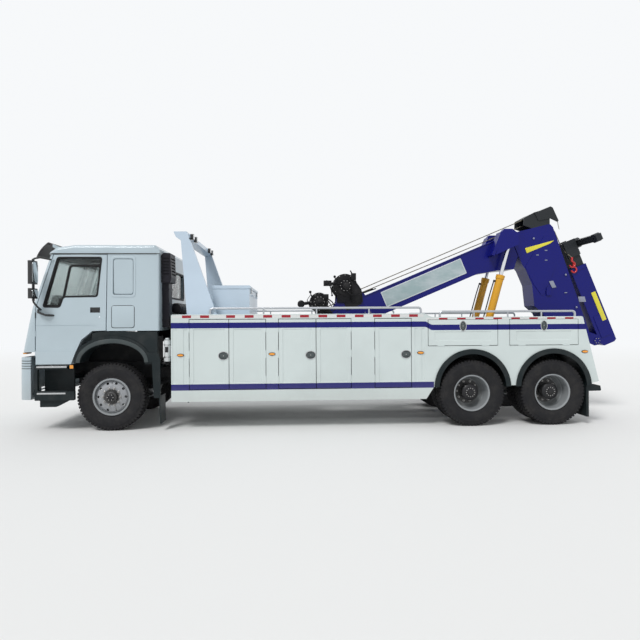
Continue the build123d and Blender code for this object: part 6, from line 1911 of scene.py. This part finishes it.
@dataclass
class Studio:
    """Camera, floor and light.

    Attributes:
        eye: the camera's place.
        yaw: turn of the view towards the tail, in radians.
        pitch: turn upwards.
        roll: turn about the view.
        focal: focal length as a share of the picture's width.
        sensor: sensor width in millimetres.
        floor_half: half size of the floor.
        sky: brightness of the world's light.
    """

    eye: Point = (0.8114, 9.6331, 1.7447)
    yaw: float = 0.0469
    pitch: float = 0.0007
    roll: float = -0.0058
    focal: float = 0.81558
    sensor: float = 36
    floor_half: float = 60
    sky: float = 0.62

    def camera(self) -> None:
        """Camera at the photograph's place and angle."""
        ahead = Vector((-math.sin(self.yaw) * math.cos(self.pitch),
                        -math.cos(self.yaw) * math.cos(self.pitch), math.sin(self.pitch)))
        right = ahead.cross(Vector((0, 0, 1))).normalized()
        up = right.cross(ahead)
        right, up = (right * math.cos(self.roll) + up * math.sin(self.roll),
                     up * math.cos(self.roll) - right * math.sin(self.roll))
        data = bpy.data.cameras.new("camera")
        data.sensor_width = self.sensor
        data.lens = self.focal * self.sensor
        data.clip_end = 500
        made = bpy.data.objects.new("camera", data)
        bpy.context.scene.collection.objects.link(made)
        made.matrix_world = Matrix.Translation(self.eye) @ Matrix((right, up, -ahead)).transposed().to_4x4()
        bpy.context.scene.camera = made

    def floor(self) -> None:
        """Pale floor that fades into the background far away."""
        graph = Graph("studio_floor")
        graph.set("Base Color", (0.80, 0.80, 0.79))
        graph.set("Roughness", 0.85)
        graph.bump(graph.noise(60, 3), 0.1, 0.002)
        away = ((graph.x * graph.x + graph.y * graph.y) ** 0.5).ramped(9, 34)
        glow = graph.node("ShaderNodeEmission", {}, {"Color": SKY_TONE, "Strength": 1.0})
        joined = graph.node("ShaderNodeMixShader", {},
                            {0: away, 1: graph.shader.outputs[0], 2: glow.outputs[0]})
        under = graph.node("ShaderNodeNewGeometry").outputs["Backfacing"]
        clear = graph.node("ShaderNodeBsdfTransparent")
        both = graph.node("ShaderNodeMixShader", {}, {0: under, 1: joined.outputs[0], 2: clear.outputs[0]})
        output = graph.tree.nodes["Material Output"]
        graph.feed(output.inputs["Surface"], both.outputs[0])
        h = self.floor_half
        mesh = bpy.data.meshes.new("studio_floor")
        mesh.from_pydata([(-h, -h, 0), (h, -h, 0), (h, h, 0), (-h, h, 0)], [], [(0, 1, 2, 3)])
        made = link_mesh("studio_floor", mesh)
        made.data.materials.append(graph.material)

    def light(self) -> None:
        """Even sky light, and two broad soft lamps."""
        world = bpy.data.worlds.new("studio")
        bpy.context.scene.world = world
        world.use_nodes = True
        tree = world.node_tree
        background = tree.nodes["Background"]
        background.inputs[0].default_value = (0.96, 0.98, 1.0, 1)
        background.inputs[1].default_value = self.sky
        seen, path, either, third, chosen = (tree.nodes.new(f"ShaderNode{kind}") for kind in (
            "Background", "LightPath", "Math", "Math", "MixShader"))
        seen.inputs[0].default_value = (*SKY_TONE, 1)
        either.operation = third.operation = "MAXIMUM"
        link_nodes(tree, (
            (path, "Is Camera Ray", either, 0), (path, "Is Glossy Ray", either, 1), (either, 0, third, 0),
            (path, "Is Transmission Ray", third, 1), (third, 0, chosen, 0), (background, 0, chosen, 1),
            (seen, 0, chosen, 2), (chosen, 0, tree.nodes["World Output"], 0)))
        for name, strength, spread, towards in (
            ("key", 1.75, 18, (-0.40, -0.62, -0.85)),
            ("fill", 0.25, 60, (0.8, 0.9, -0.7)),
        ):
            data = bpy.data.lights.new(name, "SUN")
            data.energy = strength
            data.angle = math.radians(spread)
            lamp = bpy.data.objects.new(name, data)
            bpy.context.scene.collection.objects.link(lamp)
            lamp.matrix_world = Vector(towards).to_track_quat("-Z", "Y").to_matrix().to_4x4()

    def build(self) -> None:
        """Camera, floor, light and plain colour handling."""
        self.camera()
        self.floor()
        self.light()
        bpy.context.scene.view_settings.view_transform = "Standard"
        LOG.info("studio ready")


def main() -> None:
    """Build the studio, dress the parts and add the pieces."""
    logging.basicConfig(level=logging.INFO)
    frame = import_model()
    Studio().build()
    CarriedParts(frame["record"], frame["nodes"]).dress()
    Wheels().build()
    CabTrim().build()
    BodyTrim().build()
    BoomTrim().build()


if __name__ == "__main__":
    main()
